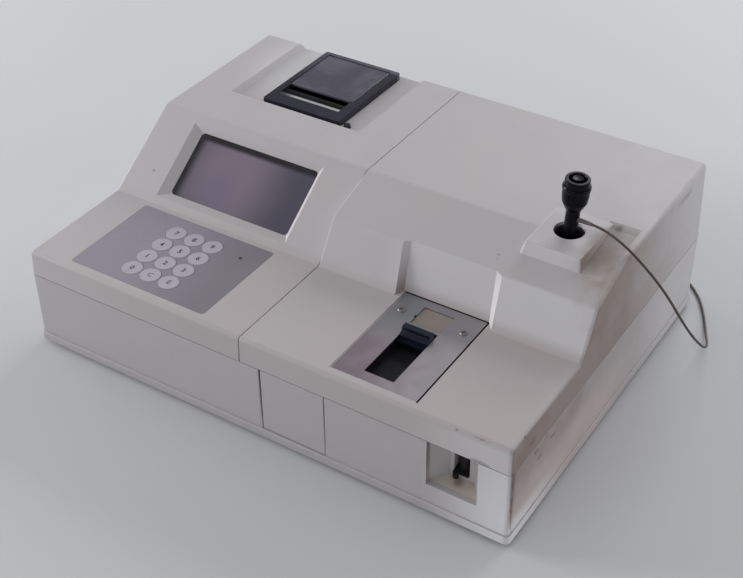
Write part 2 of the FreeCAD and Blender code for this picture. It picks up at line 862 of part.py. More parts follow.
def pipettor_body():
    swell = barrel_radius - stem_radius
    profile = [(0, stem_foot), (stem_radius, stem_foot), (stem_radius, stem_top)]
    profile += [(stem_radius + swell * r, stem_top + neck_height * h) for r, h in neck_shares]
    profile += [(barrel_radius * r, barrel_low + (ring_low - barrel_low) * h) for r, h in barrel_shares]
    profile += [(barrel_radius, ring_low), (cap_radius + ring_reach, ring_low),
                (cap_radius + ring_reach, ring_high + ring_reach), (cap_radius, pipettor_top - ring_reach),
                (cap_radius - ring_reach, pipettor_top), (cap_bore + ring_reach, pipettor_top),
                (cap_bore, pipettor_top - ring_reach * 2), (cap_bore, pipettor_top - cap_bore_depth),
                (button_stem_radius + running_gap, pipettor_top - cap_bore_depth),
                (button_stem_radius + running_gap, barrel_low), (0, barrel_low)]
    return leaned(revolved(profile, holder_x, front + holder_y))


def pipettor_ring():
    outer = barrel_radius + ring_reach
    inner = cap_radius + ring_reach
    profile = [(inner, ring_low), (outer - ring_reach, ring_low), (outer, ring_low + ring_height / 4),
               (outer, ring_high - ring_height / 4), (outer - ring_reach, ring_high), (inner, ring_high)]
    return leaned(revolved(profile, holder_x, front + holder_y))


def pipettor_button():
    top = pipettor_top + button_rise
    low = pipettor_top - cap_bore_depth + button_travel + seat_gap
    foot = barrel_low + button_travel + seat_gap
    profile = [(0, foot), (button_stem_radius, foot), (button_stem_radius, low), (button_radius, low),
               (button_radius, top - button_rise),
               (button_radius - button_rise, top), (button_radius / 2, top - button_rise / 4),
               (0, top - button_rise / 2)]
    return leaned(revolved(profile, holder_x, front + holder_y))


def pipettor_nozzle():
    profile = [(nozzle_bore, nozzle_foot), (nozzle_tip_radius, nozzle_foot),
               (nozzle_mid_radius, nozzle_mid_height),
               (nozzle_collar, nozzle_mid_height + nozzle_collar), (nozzle_collar, stem_foot),
               (nozzle_bore, stem_foot)]
    return leaned(revolved(profile, holder_x, front + holder_y))


def gland_line():
    """Point on the leaned stem where the strain relief starts, and its direction."""
    lean = math.radians(pipettor_lean)
    rise = gland_height - lean_height
    start = Vector(holder_x + rise * math.sin(lean), front + holder_y, lean_height + rise * math.cos(lean))
    heading = math.radians(gland_heading)
    slope = math.radians(gland_slope)
    ahead = Vector(math.cos(heading) * math.cos(slope), math.sin(heading) * math.cos(slope), math.sin(slope))
    return start, ahead


def cord_gland():
    start, ahead = gland_line()
    cone = Part.makeCone(gland_root_radius, gland_tip_radius, gland_length, start, ahead)
    grooves = []
    pitch = (gland_length - stem_radius) / (gland_grooves + 2)
    for i in range(gland_grooves):
        at = start + ahead * (stem_radius + pitch * (i + 1.5))
        sleeve = Part.makeCylinder(gland_root_radius * 2, pitch / 3, at, ahead)
        core = Part.makeCylinder(gland_tip_radius * gland_core_share, pitch / 3, at, ahead)
        grooves.append(sleeve.cut(core))
    stem = leaned(post(holder_x, front + holder_y, stem_foot, stem_top, stem_radius))
    return without(cone, [stem] + grooves)


# Pipettor cord
cord_diameter = 2.4
cord_lead = 17.0
gland_lead = 7.0
route_after_gland = [(229.2, 18.3, 174.4), (243.8, 18.0, 167.0), (258.7, 19.5, 154.4),
                     (271.7, 24.5, 137.8), (281.9, 33.0, 117.2), (289.0, 45.0, 93.5),
                     (294.5, 60.5, 69.0), (298.5, 79.0, 46.0), (299.0, 101.0, 25.0),
                     (294.0, 126.0, 9.0), (283.0, 152.0, 1.6), (271.0, 178.0, 1.23),
                     (255.5, 203.0, 1.27), (233.0, 224.5, 1.23), (205.0, 238.5, 1.27),
                     (176.0, 245.5, 1.23)]
coil_x = 130.0
coil_y = 224.0
coil_turns = 5
coil_layers = 2
coil_mid_radius = 14.4
coil_lift = 0.05
coil_pitch_share = 1.2
coil_start_angle = 90.0
route_to_plug = [(91.0, 244.5, 13.0), (81.0, 236.0, 24.5), (79.0, 222.0, 30.0)]


def arc_at(before, corner, after, reach):
    """Arc that starts and ends at the same reach from a corner of a route."""
    u = (before - corner).normalize()
    v = (after - corner).normalize()
    half = u.getAngle(v) / 2
    radius = reach * math.tan(half)
    middle = corner + (u + v).normalize() * (radius / math.sin(half) - radius)
    return corner + u * reach, middle, corner + v * reach, radius


def route_wire(points):
    """Straight runs joined by tangent arcs, each as large as its two runs allow."""
    edges = []
    radii = []
    at = points[0]
    for before, corner, after in zip(points, points[1:], points[2:]):
        shorter = min((corner - before).Length, (after - corner).Length)
        first, middle, last, radius = arc_at(before, corner, after, shorter * 0.45)
        edges.append(Part.makeLine(at, first))
        edges.append(Part.Arc(first, middle, last).toShape())
        radii.append(radius)
        at = last
    edges.append(Part.makeLine(at, points[-1]))
    return Part.Wire(edges), radii


def tube(wire, start, ahead, radius):
    circle = Part.Wire(Part.makeCircle(radius, start, ahead))
    shell = Part.BRepOffsetAPI.MakePipeShell(wire)
    shell.add(circle, False, False)
    shell.build()
    shell.makeSolid()
    return shell.shape()


def biarc(p0, t0, p1, t1):
    """Two arcs that leave p0 along t0, meet smoothly and reach p1 along t1."""
    chord = p1 - p0
    both = t0 + t1
    square = both.dot(both) - 4
    slope = -2 * chord.dot(both)
    level = chord.dot(chord)
    if abs(square) < 1e-9:
        reach = -level / slope
    else:
        reach = (-slope - math.sqrt(slope * slope - 4 * square * level)) / (2 * square)
    a = p0 + t0 * reach
    b = p1 - t1 * reach
    joint = (a + b) * 0.5
    edges = []
    for first, corner, last in ((p0, a, joint), (joint, b, p1)):
        _, middle, _, _ = arc_at(first, corner, last, reach)
        edges.append(Part.Arc(first, middle, last).toShape())
    return edges


def coil_radius(turn):
    """Spirals inwards in the lower layer and outwards again in the upper one."""
    per_layer = coil_turns / coil_layers
    inner = coil_mid_radius - cord_diameter * coil_pitch_share * per_layer / 2
    depth = min(turn, coil_turns - turn)
    return inner + cord_diameter * coil_pitch_share * (per_layer - depth)


def coil_height(turn):
    """Lower layer on the table, then a climb of one layer in the half turn in the middle."""
    low = cord_diameter / 2 + coil_lift
    middle = coil_turns / 2
    climb = min(1, max(0, (turn - middle + 0.25) / 0.5))
    smooth = climb * climb * (3 - 2 * climb)
    return low + cord_diameter * coil_pitch_share * smooth


def coil_point(turn):
    angle = math.radians(coil_start_angle + 360.0 * turn)
    radius = coil_radius(turn)
    return Vector(coil_x + radius * math.cos(angle), coil_y + radius * math.sin(angle), coil_height(turn))


def coil_tangent(turn):
    small = 1e-4
    return (coil_point(turn + small) - coil_point(turn - small)).normalize()


def coil_edges():
    edges = []
    steps = coil_turns * 4
    for i in range(steps):
        t0, t1 = i / 4, (i + 1) / 4
        edges += biarc(coil_point(t0), coil_tangent(t0), coil_point(t1), coil_tangent(t1))
    return edges


def straight_end(wire_edges, start, start_ahead, end, end_ahead):
    """Adds a straight lead of one cord diameter at both ends."""
    first = Part.makeLine(start - start_ahead * cord_diameter, start)
    last = Part.makeLine(end, end + end_ahead * cord_diameter)
    return Part.Wire([first] + wire_edges + [last])


def coil_ends():
    start, ahead = coil_point(0), coil_tangent(0)
    end, onward = coil_point(coil_turns), coil_tangent(coil_turns)
    return start, ahead, end, onward


def cord_coil():
    start, ahead, end, onward = coil_ends()
    wire = straight_end(coil_edges(), start, ahead, end, onward)
    return tube(wire, start - ahead * cord_diameter, ahead, cord_diameter / 2)


def cord_run():
    start, ahead = gland_line()
    end, onward, _, _ = coil_ends()
    tip = start + ahead * gland_length
    meet = end - onward * cord_diameter
    points = [tip, tip + ahead * gland_lead] + [Vector(*p) for p in route_after_gland]
    points += [meet - onward * cord_lead, meet]
    wire, radii = route_wire(points)
    print("cord radii", [round(r, 1) for r in radii])
    begin = (points[1] - points[0]).normalize()
    body = tube(wire, points[0], begin, cord_diameter / 2)
    report_tube("cord_run", body, wire)
    return body


def cord_tail():
    _, _, end, onward = coil_ends()
    meet = end + onward * cord_diameter
    points = [meet, meet + onward * cord_lead] + [Vector(*p) for p in route_to_plug]
    points.append(Vector(jack_x, plug_rear(), jack_z))
    wire, radii = route_wire(points)
    print("tail radii", [round(r, 1) for r in radii])
    body = tube(wire, points[0], (points[1] - points[0]).normalize(), cord_diameter / 2)
    report_tube("cord_tail", body, wire)
    return body


def report_tube(name, body, wire):
    section = math.pi * cord_diameter ** 2 / 4
    volume_share = body.Volume / (section * wire.Length)
    print(name, "length", round(wire.Length, 1), "volume share", round(volume_share, 4))


def report_coil_gap():
    """Least distance between two turns of the coil, measured on points of its middle line."""
    samples = 360
    points = [coil_point(coil_turns * i / samples) for i in range(samples + 1)]
    least = body_width
    apart = samples // coil_turns // 2
    for i, a in enumerate(points):
        for b in points[i + apart:]:
            least = min(least, (a - b).Length)
    print("coil self gap", round(least - cord_diameter, 2))


# Base shell
fascia_thickness = 5.5
fascia_gap = 0.3
post_bore_height = 70.0
tongue_thickness = 1.6
tongue_rise = 3.5
tongue_foot = 6.0
drawer_left = 10.2
drawer_right = 74.8
drawer_low = 13.3
drawer_high = 78.5
drawer_gap_left = 1.6
drawer_frame_overlap = 0.3
drawer_frame_high = 76.0
box_side_gap = 1.5
box_wall = 2.0
box_low = 15.0
box_high = 70.0
box_rear_y = 125.0
box_corner = 3.0
runner_width = 6.0
runner_inset = 9.0
runner_length = 150.0
guide_height = 30.0
panel_half = 150.0
panel_low = 14.0
panel_high = 68.0
panel_overlap = 4.0
panel_thickness = 2.0
alcove_inset = 29.0
alcove_width = 47.0
alcove_low = 32.0
alcove_back_inset = 12.3
alcove_back_width = 22.1
alcove_back_low = 36.5
alcove_back_y = 18.0
alcove_wall = 4.0
alcove_flange = 4.0
alcove_slot_inset = 16.5
alcove_slot_width = 14.5
alcove_slot_low = 41.0
alcove_rear_y = 36.0
alcove_rear_wall = 3.0
vent_width = 3.5
slot_end_share = 0.4
vent_pitch = 8.0
vent_count = 10
vent_length = 60.0
vent_x = -95.0
vent_rear_inset = 118.0
rib_height = 5.0
foot_radius_outer = 10.0
foot_radius_inner = 8.5
foot_x_share = 0.4
foot_y_share = 0.38
alcove_right = half_width - alcove_inset
alcove_left = alcove_right - alcove_width
alcove_back_right = alcove_right - alcove_back_inset
alcove_back_left = alcove_back_right - alcove_back_width
alcove_slot_right = alcove_right - alcove_slot_inset
alcove_slot_left = alcove_slot_right - alcove_slot_width


def inner_floor():
    return foot_height + wall


def seam_low():
    return seam_height - seam_gap / 2


def tub_block(inset, z0, z1, radius):
    return rounded_block(-half_width + inset, half_width - inset, front + fascia_thickness + inset,
                         rear - inset, z0, z1, radius)


def tongue():
    outer_inset = wall + running_gap
    inner_inset = outer_inset + tongue_thickness
    low = seam_low() - tongue_foot
    high = seam_height + tongue_rise
    y0 = front + fascia_thickness
    outer = rounded_block(-half_width + outer_inset, half_width - outer_inset, y0, rear - outer_inset,
                          seam_low(), high, tongue_thickness)
    outer = outer.fuse(rounded_block(-half_width + wall / 2, half_width - wall / 2, y0, rear - wall / 2,
                                     low, seam_low(), tongue_thickness))
    inner = rounded_block(-half_width + inner_inset, half_width - inner_inset, y0 + tongue_thickness,
                          rear - inner_inset, low, high, tongue_thickness)
    slot = wall + split_gap + running_gap * 2
    gap = block(split_x - slot, split_x + slot, front, rear, seam_low(), high)
    return outer.cut(inner).cut(gap)


def base_shell():
    lip_top = foot_height + lip_height
    lip = rounded_block(-half_width - lip_reach, half_width + lip_reach, front - lip_reach, rear + lip_reach,
                        foot_height, lip_top, corner_radius + lip_reach)
    lip = rounded(lip, lip_reach * lip_edge_share, lambda p: p.z > lip_top - lip_reach / 4)
    shell = lip.fuse(tub_block(0, foot_height, seam_low(), corner_radius))
    shell = shell.cut(tub_block(wall, inner_floor(), seam_height, corner_radius - wall + seat_gap))
    parts = [shell, tongue()]
    for x, y in post_places():
        parts.append(post(x, y, foot_height, seam_height + seam_gap / 2, post_radius))
    mid = (drawer_left + drawer_right) / 2
    y0 = front + fascia_thickness + wall
    half = (box_right() - box_left()) / 2
    for side in (-1, 1):
        x = mid + side * (half - runner_inset)
        parts.append(block(x - runner_width / 2, x + runner_width / 2, y0 - wall / 2, y0 + runner_length,
                           foot_height, box_low - fascia_gap))
        x = mid + side * (half + running_gap)
        edge = x + side * wall
        parts.append(block(min(x, edge), max(x, edge), y0 - wall / 2, y0 + runner_length, foot_height,
                           inner_floor() + guide_height))
    shell = joined(parts)
    cutters = []
    for x, y in post_places():
        cutters.append(post(x, y, 0, post_bore_height, screw_head_radius + seat_gap))
        cutters.append(post(x, y, 0, seam_height + overrun, screw_radius + screw_slack))
    cutters.append(block(drawer_left + drawer_frame_overlap, drawer_right - drawer_frame_overlap,
                         front, y0 + seat_gap / 2, drawer_low + seat_gap, drawer_frame_high))
    cutters.append(block(alcove_left - alcove_wall, alcove_right + alcove_wall, front, y0 + tongue_thickness,
                         alcove_low - alcove_wall * 2, seam_low()))
    cutters.append(block(-panel_half, panel_half, rear - wall * 2, rear + overrun, panel_low, panel_high))
    for i in range(vent_count):
        x = vent_x + vent_pitch * (i - (vent_count - 1) / 2)
        y = rear - vent_rear_inset
        cutters.append(rounded_block(x - vent_width / 2, x + vent_width / 2, y - vent_length / 2,
                                     y + vent_length / 2, 0, inner_floor() + overrun,
                                     vent_width * slot_end_share))
    return without(shell, cutters)


def cover_screws():
    screws = []
    tip = seam_height + (deck_height - wall - seam_height) * screw_grip_share
    for x, y in post_places():
        head = post(x, y, post_bore_height - screw_head_height, post_bore_height, screw_head_radius)
        shank = post(x, y, post_bore_height, tip, screw_radius)
        cross = block(x - screw_radius, x + screw_radius, y - seat_gap * 2, y + seat_gap * 2,
                      post_bore_height - screw_head_height, post_bore_height - screw_head_height / 2)
        screws.append(head.fuse(shank).removeSplitter().cut(cross))
    return Part.makeCompound(screws)


def rubber_feet():
    feet = []
    for sx in (-1, 1):
        for sy in (-1, 1):
            x, y = body_width * foot_x_share * sx, body_depth * foot_y_share * sy
            profile = [(0, 0), (foot_radius_inner, 0), (foot_radius_outer, foot_height / 3),
                       (foot_radius_outer, foot_height), (0, foot_height)]
            feet.append(revolved(profile, x, y))
    return Part.makeCompound(feet)


def fascia(left, right, outer_side):
    y0, y1 = front, front + fascia_thickness
    low = foot_height + lip_height + fascia_gap
    slab = block(left, right, y0, y1, low, seam_low())
    edge = split_edge_radius * fascia_edge_share
    outer_x = left if outer_side < 0 else right
    slab = rounded(slab, corner_radius, lambda p: abs(p.x - outer_x) < seat_gap and abs(p.y - y0) < seat_gap)
    inner_x = right if outer_side < 0 else left
    return rounded(slab, edge, lambda p: abs(p.x - inner_x) < seat_gap and abs(p.y - y0) < seat_gap)


def fascia_left():
    return fascia(-half_width, drawer_left - drawer_gap_left, -1)


def fascia_right():
    slab = fascia(drawer_right + split_gap, half_width, 1)
    window = block(alcove_left, alcove_right, front - overrun, front + fascia_thickness + overrun,
                   alcove_low, seam_height + overrun)
    return slab.cut(window)


def alcove_insert():
    """Funnel that guides the pipettor to the tip dock, open to the front and top."""
    y0 = front + fascia_thickness
    top = seam_low() - seat_gap
    low = alcove_low - alcove_wall * 2 + seat_gap
    body = block(alcove_left - alcove_wall + seat_gap, alcove_right + alcove_wall - seat_gap, y0,
                 front + alcove_rear_y, low, top)
    flange = block(alcove_left - alcove_wall - alcove_flange, alcove_right + alcove_wall + alcove_flange,
                   y0 + wall, y0 + wall * 2, low - alcove_flange, seam_low() - tongue_foot - seat_gap)
    sill = block(alcove_left - alcove_wall + seat_gap, alcove_right + alcove_wall - seat_gap, y0 + wall,
                 front + alcove_rear_y, low - alcove_flange, low)
    funnel = Part.makeLoft([
        quad([(alcove_left, y0, alcove_low), (alcove_right, y0, alcove_low),
              (alcove_right, y0, seam_height + overrun), (alcove_left, y0, seam_height + overrun)]),
        quad([(alcove_back_left, front + alcove_back_y, alcove_back_low),
              (alcove_back_right, front + alcove_back_y, alcove_back_low),
              (alcove_back_right, front + alcove_back_y, seam_height + overrun),
              (alcove_back_left, front + alcove_back_y, seam_height + overrun)])], True, True)
    slot = block(alcove_slot_left, alcove_slot_right, front + alcove_back_y - seat_gap,
                 front + alcove_rear_y - alcove_rear_wall, alcove_slot_low, seam_height + overrun)
    roof = block(alcove_left - alcove_wall + seat_gap, alcove_right + alcove_wall - seat_gap,
                 front + alcove_back_y, front + alcove_rear_y, top - box_wall, top)
    return joined([without(joined([body, flange, sill]), [funnel, slot]), roof])


dock_radius = 5.0
dock_groove_share = 0.86
dock_groove_top_share = 1.6
dock_y = 25.0
dock_top = 74.0
dock_plate = 1.6
nub_radius = 2.4
nub_offset = 2.8
nub_y = 15.4


def tip_dock():
    x = (alcove_slot_left + alcove_slot_right) / 2
    y = front + dock_y
    plate = block(alcove_slot_left + seat_gap, alcove_slot_right - seat_gap, front + nub_y,
                  front + alcove_rear_y - alcove_rear_wall - seat_gap, alcove_slot_low,
                  alcove_slot_low + dock_plate)
    column = post(x, y, alcove_slot_low, dock_top, dock_radius)
    column = rounded(column, dock_radius / 4, lambda p: p.z > dock_top - seat_gap)
    groove = ring(x, y, dock_top - dock_radius * 2, dock_top - dock_radius * dock_groove_top_share,
                  dock_radius * 2, dock_radius * dock_groove_share)
    nub = post(alcove_slot_left + nub_offset, front + nub_y, alcove_back_low + seat_gap,
               alcove_slot_low + dock_plate, nub_radius)
    return joined([plate, column.cut(groove), nub])


def box_left():
    return drawer_left + box_side_gap


def box_right():
    return drawer_right - box_side_gap


def drawer_front():
    y0, y1 = front, front + fascia_thickness - seat_gap
    slab = block(drawer_left, drawer_right, y0, y1, drawer_low, drawer_high)
    return rounded(slab, split_edge_radius * fascia_edge_share,
                   lambda p: abs(p.y - y0) < seat_gap and abs(p.x) > 0)


def drawer_box():
    y0, y1 = front + fascia_thickness - seat_gap, front + box_rear_y
    body = rounded_block(box_left(), box_right(), y0, y1, box_low, box_high, box_corner)
    room = rounded_block(box_left() + box_wall, box_right() - box_wall, y0 + box_wall, y1 - box_wall,
                         box_low + box_wall, box_high + overrun, box_corner - box_wall / 2)
    return body.cut(room)


# Rear panel and what it carries
inlet_x = -115.0
inlet_half_width = 12.0
inlet_half_height = 8.2
inlet_chamfer = 4.0
inlet_depth = 15.0
inlet_wall = 1.8
inlet_flange = 4.0
inlet_rim = 2.2
pin_thickness = 2.0
pin_height = 4.0
pin_spread = 7.0
pin_lift = 2.0
pin_length = 9.5
rocker_x = -84.0
rocker_half_width = 6.0
rocker_half_height = 9.0
rocker_depth = 7.0
rocker_back_share = 0.7
rocker_tilt = 9.0
rocker_gap = 0.9
rocker_pin = 1.5
fan_x = -25.0
fan_half = 25.0
fan_thickness = 15.0
fan_duct_radius = 23.5
fan_hub_radius = 10.0
fan_blade_root_share = 0.8
fan_hole_inset = 5.0
fan_corner_share = 0.7
fan_blades = 7
fan_blade_thickness = 1.2
fan_blade_turn = 32.0
fan_blade_gap = 1.0
grille_slots = 7
grille_pitch = 6.2
grille_height = 3.6
serial_x = 32.0
serial_half_width = 15.4
serial_half_height = 6.2
serial_shell_half_width = 8.6
serial_shell_half_height = 4.3
serial_shell_lean = 1.0
serial_reach = 4.4
serial_depth = 8.0
standoff_radius = 2.4
jack_x = 79.0
jack_z = 30.0
jack_radius = 6.5
jack_nut_radius = 7.6
jack_nut_thickness = 2.0
jack_bore = 2.8
jack_length = 14.0
plug_radius = 4.5
plug_grips = 4
plug_grip_share = 0.92
plug_first_grip_share = 0.25
plug_grip_pitch_share = 0.16
plug_cone_share = 0.8
plug_tail_share = 0.64
plug_pin_radius = 2.5
plug_barrel_length = 13.0
plug_cone_length = 7.0
plug_pin_length = 10.0


def panel_face():
    return rear - wall


def panel_middle():
    return (panel_low + panel_high) / 2


def inlet_outline(half_w, half_h, chamfer, y0, y1):
    x, z = inlet_x, panel_middle()
    points = [(x - half_w, z - half_h), (x + half_w, z - half_h), (x + half_w, z + half_h - chamfer),
              (x + half_w - chamfer, z + half_h), (x - half_w + chamfer, z + half_h),
              (x - half_w, z + half_h - chamfer)]
    return prism([Vector(px, y0, pz) for px, pz in points], [0] * 6, Vector(0, y1 - y0, 0))


def rocker_opening(grow, y0, y1):
    z = panel_middle()
    return block(rocker_x - rocker_half_width - grow, rocker_x + rocker_half_width + grow, y0, y1,
                 z - rocker_half_height - grow, z + rocker_half_height + grow)


def power_inlet():
    """Mains inlet with its three pins, and the bezel of the rocker switch beside it."""
    face = panel_face()
    z = panel_middle()
    grow = inlet_wall
    back = face - inlet_depth - inlet_wall
    body = inlet_outline(inlet_half_width + grow, inlet_half_height + grow, inlet_chamfer, back,
                         face + inlet_rim)
    switch = rocker_opening(rocker_gap + inlet_wall, back, face + inlet_rim)
    flange = plate_y(inlet_x - inlet_half_width - inlet_flange, rocker_x + rocker_half_width + inlet_flange,
                     z - inlet_half_height - inlet_flange - grow, z + inlet_half_height + inlet_flange + grow,
                     face, face + inlet_rim, inlet_flange / 2)
    shape = joined([body, switch, flange])
    cavity = inlet_outline(inlet_half_width, inlet_half_height, inlet_chamfer, face + inlet_rim - inlet_depth,
                           face + inlet_rim + overrun)
    well = rocker_opening(rocker_gap, face + inlet_rim - inlet_depth, face + inlet_rim + overrun)
    floor = face + inlet_rim - inlet_depth
    axis_y = rocker_axis_y()
    pivot = rod(Vector(rocker_x - rocker_half_width - rocker_gap - rocker_pin, axis_y, z),
                Vector(rocker_x + rocker_half_width + rocker_gap + rocker_pin, axis_y, z),
                rocker_pin + screw_slack)
    shape = without(shape, [cavity, well, pivot])
    pins = []
    for dx, dz in ((-pin_spread, -pin_lift), (0, pin_lift), (pin_spread, -pin_lift)):
        x = inlet_x + dx
        pins.append(block(x - pin_thickness / 2, x + pin_thickness / 2, floor - inlet_wall / 2,
                          floor + pin_length, z + dz - pin_height / 2, z + dz + pin_height / 2))
    return joined([shape] + pins)


def rocker_axis_y():
    return panel_face() + inlet_rim - rocker_depth / 2


def power_rocker():
    """Two-faced rocker on a cross pin, modelled in its off position."""
    face = panel_face() + inlet_rim
    z = panel_middle()
    y = rocker_axis_y()
    h = rocker_half_height
    rise = h * math.tan(math.radians(rocker_tilt))
    points = [(y - rocker_depth / 2, z - h * rocker_back_share), (face - rise / 2, z - h),
              (face + rise / 2, z - h), (face - rise / 4, z), (face + rise / 2, z + h),
              (face - rise / 2, z + h),
              (y - rocker_depth / 2, z + h * rocker_back_share)]
    x0 = rocker_x - rocker_half_width
    body = prism([Vector(x0, py, pz) for py, pz in points], [0] * 7, Vector(rocker_half_width * 2, 0, 0))
    x1 = x0 + rocker_half_width * 2
    pin = rod(Vector(x0 - rocker_pin, y, z), Vector(x1 + rocker_pin, y, z), rocker_pin)
    body = joined([body, pin])
    body.rotate(Vector(rocker_x, y, z), Vector(1, 0, 0), rocker_tilt)
    return body


def fan_grille():
    slots = []
    z = panel_middle()
    for i in range(grille_slots):
        dz = grille_pitch * (i - (grille_slots - 1) / 2)
        half = math.sqrt(max(0, (fan_duct_radius - screw_radius) ** 2 - dz ** 2))
        slots.append(plate_y(fan_x - half, fan_x + half, z + dz - grille_height / 2,
                             z + dz + grille_height / 2, panel_face() - wall * 2, panel_face() + overrun,
                             grille_height * slot_end_share))
    return slots


def rear_panel():
    face = panel_face()
    z = panel_middle()
    slab = plate_y(-panel_half - panel_overlap, panel_half + panel_overlap, panel_low - panel_overlap,
                   panel_high + panel_overlap, face - panel_thickness, face, panel_overlap)
    back = face - wall * 2
    inlet_grow = inlet_wall + seat_gap
    serial_reach_x = serial_shell_half_width + wall
    serial_reach_z = serial_shell_half_height + wall / 2
    cutters = [inlet_outline(inlet_half_width + inlet_grow, inlet_half_height + inlet_grow,
                             inlet_chamfer, back, face + overrun),
               rocker_opening(rocker_gap + inlet_grow, back, face + overrun),
               rod(Vector(jack_x, back, jack_z), Vector(jack_x, face + overrun, jack_z),
                   jack_radius + seat_gap),
               block(serial_x - serial_reach_x, serial_x + serial_reach_x, back, face + overrun,
                     z - serial_reach_z, z + serial_reach_z)]
    return without(slab, cutters + fan_grille())


def serial_port():
    """Nine-way connector: flange, leaning shell, socket face and two hex posts."""
    face = panel_face()
    z = panel_middle()
    x = serial_x
    flange = plate_y(x - serial_half_width, x + serial_half_width, z - serial_half_height,
                     z + serial_half_height, face, face + screw_head_height / 3, split_edge_radius)
    body = block(x - serial_shell_half_width - wall + seat_gap, x + serial_shell_half_width + wall - seat_gap,
                 face - serial_depth, face, z - serial_shell_half_height - wall / 2 + seat_gap,
                 z + serial_shell_half_height + wall / 2 - seat_gap)
    w, h, lean = serial_shell_half_width, serial_shell_half_height, serial_shell_lean
    points = [Vector(x - w + lean, face, z - h), Vector(x + w - lean, face, z - h),
              Vector(x + w, face, z + h), Vector(x - w, face, z + h)]
    shell = prism(points, [split_edge_radius] * 4, Vector(0, serial_reach, 0))
    holes = []
    for row, count in ((1, 5), (-1, 4)):
        for i in range(count):
            px = x + (i - (count - 1) / 2) * serial_shell_half_width / 3
            pz = z + row * serial_shell_half_height / 3
            holes.append(rod(Vector(px, face + serial_reach / 2, pz), Vector(px, face + overrun, pz),
                             serial_shell_half_height / 8))
    posts = []
    for side in (-1, 1):
        px = x + side * (serial_half_width - standoff_radius - split_edge_radius / 4)
        posts.append(rod(Vector(px, face, z), Vector(px, face + serial_reach, z), standoff_radius))
    return without(joined([flange, body, shell] + posts), holes)


def cord_jack():
    face = panel_face()
    nut_face = face + jack_nut_thickness
    barrel = rod(Vector(jack_x, face - jack_length, jack_z), Vector(jack_x, nut_face, jack_z), jack_radius)
    nut = rod(Vector(jack_x, face, jack_z), Vector(jack_x, nut_face, jack_z), jack_nut_radius)
    bore = rod(Vector(jack_x, nut_face - plug_pin_length - running_gap, jack_z),
               Vector(jack_x, face + overrun, jack_z), jack_bore)
    return barrel.fuse(nut).removeSplitter().cut(bore)


def plug_front():
    return panel_face() + jack_nut_thickness + seat_gap


def plug_rear():
    return plug_front() + plug_barrel_length + plug_cone_length


def cord_plug():
    y = plug_front()
    barrel = rod(Vector(jack_x, y, jack_z), Vector(jack_x, y + plug_barrel_length, jack_z), plug_radius)
    grips = []
    for i in range(plug_grips):
        at = y + plug_barrel_length * (plug_first_grip_share + i * plug_grip_pitch_share)
        low, high = Vector(jack_x, at, jack_z), Vector(jack_x, at + seat_gap * 4, jack_z)
        grips.append(rod(low, high, plug_radius * 2).cut(rod(low, high, plug_radius * plug_grip_share)))
    cone = Part.makeCone(plug_radius * plug_cone_share, cord_diameter * plug_tail_share, plug_cone_length,
                         Vector(jack_x, y + plug_barrel_length, jack_z), Vector(0, 1, 0))
    pin = rod(Vector(jack_x, y - plug_pin_length, jack_z), Vector(jack_x, y, jack_z), plug_pin_radius)
    return joined([without(barrel, grips), cone, pin])


def fan_frame():
    z = panel_middle()
    y1 = panel_face() - panel_thickness
    y0 = y1 - fan_thickness
    frame = plate_y(fan_x - fan_half, fan_x + fan_half, z - fan_half, z + fan_half, y0, y1,
                    fan_hole_inset * fan_corner_share)
    duct = rod(Vector(fan_x, y0 - overrun, z), Vector(fan_x, y1 + overrun, z), fan_duct_radius)
    reach = fan_half - fan_hole_inset
    holes = []
    for sx in (-1, 1):
        for sz in (-1, 1):
            hx, hz = fan_x + sx * reach, z + sz * reach
            holes.append(rod(Vector(hx, y0 - overrun, hz), Vector(hx, y1 + overrun, hz),
                             screw_radius + seat_gap))
    frame = without(frame, [duct] + holes)
    parts = [frame]
    cup = rod(Vector(fan_x, y0, z), Vector(fan_x, y0 + box_wall, z), fan_hub_radius)
    stub = rod(Vector(fan_x, y0, z), Vector(fan_x, y0 + box_wall + wall, z), screw_radius)
    parts += [cup, stub]
    for i in range(3):
        arm = block(fan_x - box_wall / 2, fan_x + box_wall / 2, y0, y0 + box_wall, z,
                    z + fan_duct_radius + seat_gap * 2)
        arm.rotate(Vector(fan_x, y0, z), Vector(0, 1, 0), 120 * i + 30)
        parts.append(arm)
    return joined(parts)


def fan_rotor():
    z = panel_middle()
    y1 = panel_face() - panel_thickness - fan_blade_gap
    y0 = panel_face() - panel_thickness - fan_thickness + box_wall + running_gap
    hub = rod(Vector(fan_x, y0, z), Vector(fan_x, y1, z), fan_hub_radius)
    bore = rod(Vector(fan_x, y0 - overrun, z), Vector(fan_x, y0 + wall, z), screw_radius + running_gap)
    blades = []
    for i in range(fan_blades):
        blade = block(fan_x - fan_blade_thickness / 2, fan_x + fan_blade_thickness / 2, y0,
                      y1 - fan_blade_gap, z + fan_hub_radius * fan_blade_root_share,
                      z + fan_duct_radius - fan_blade_gap * 1.5)
        blade.rotate(Vector(fan_x, (y0 + y1) / 2, z), Vector(0, 0, 1), fan_blade_turn)
        blade.rotate(Vector(fan_x, y0, z), Vector(0, 1, 0), 360 * i / fan_blades)
        blades.append(blade)
    return joined([hub.cut(bore)] + blades).common(
        rod(Vector(fan_x, y0, z), Vector(fan_x, y1, z), fan_duct_radius - fan_blade_gap))


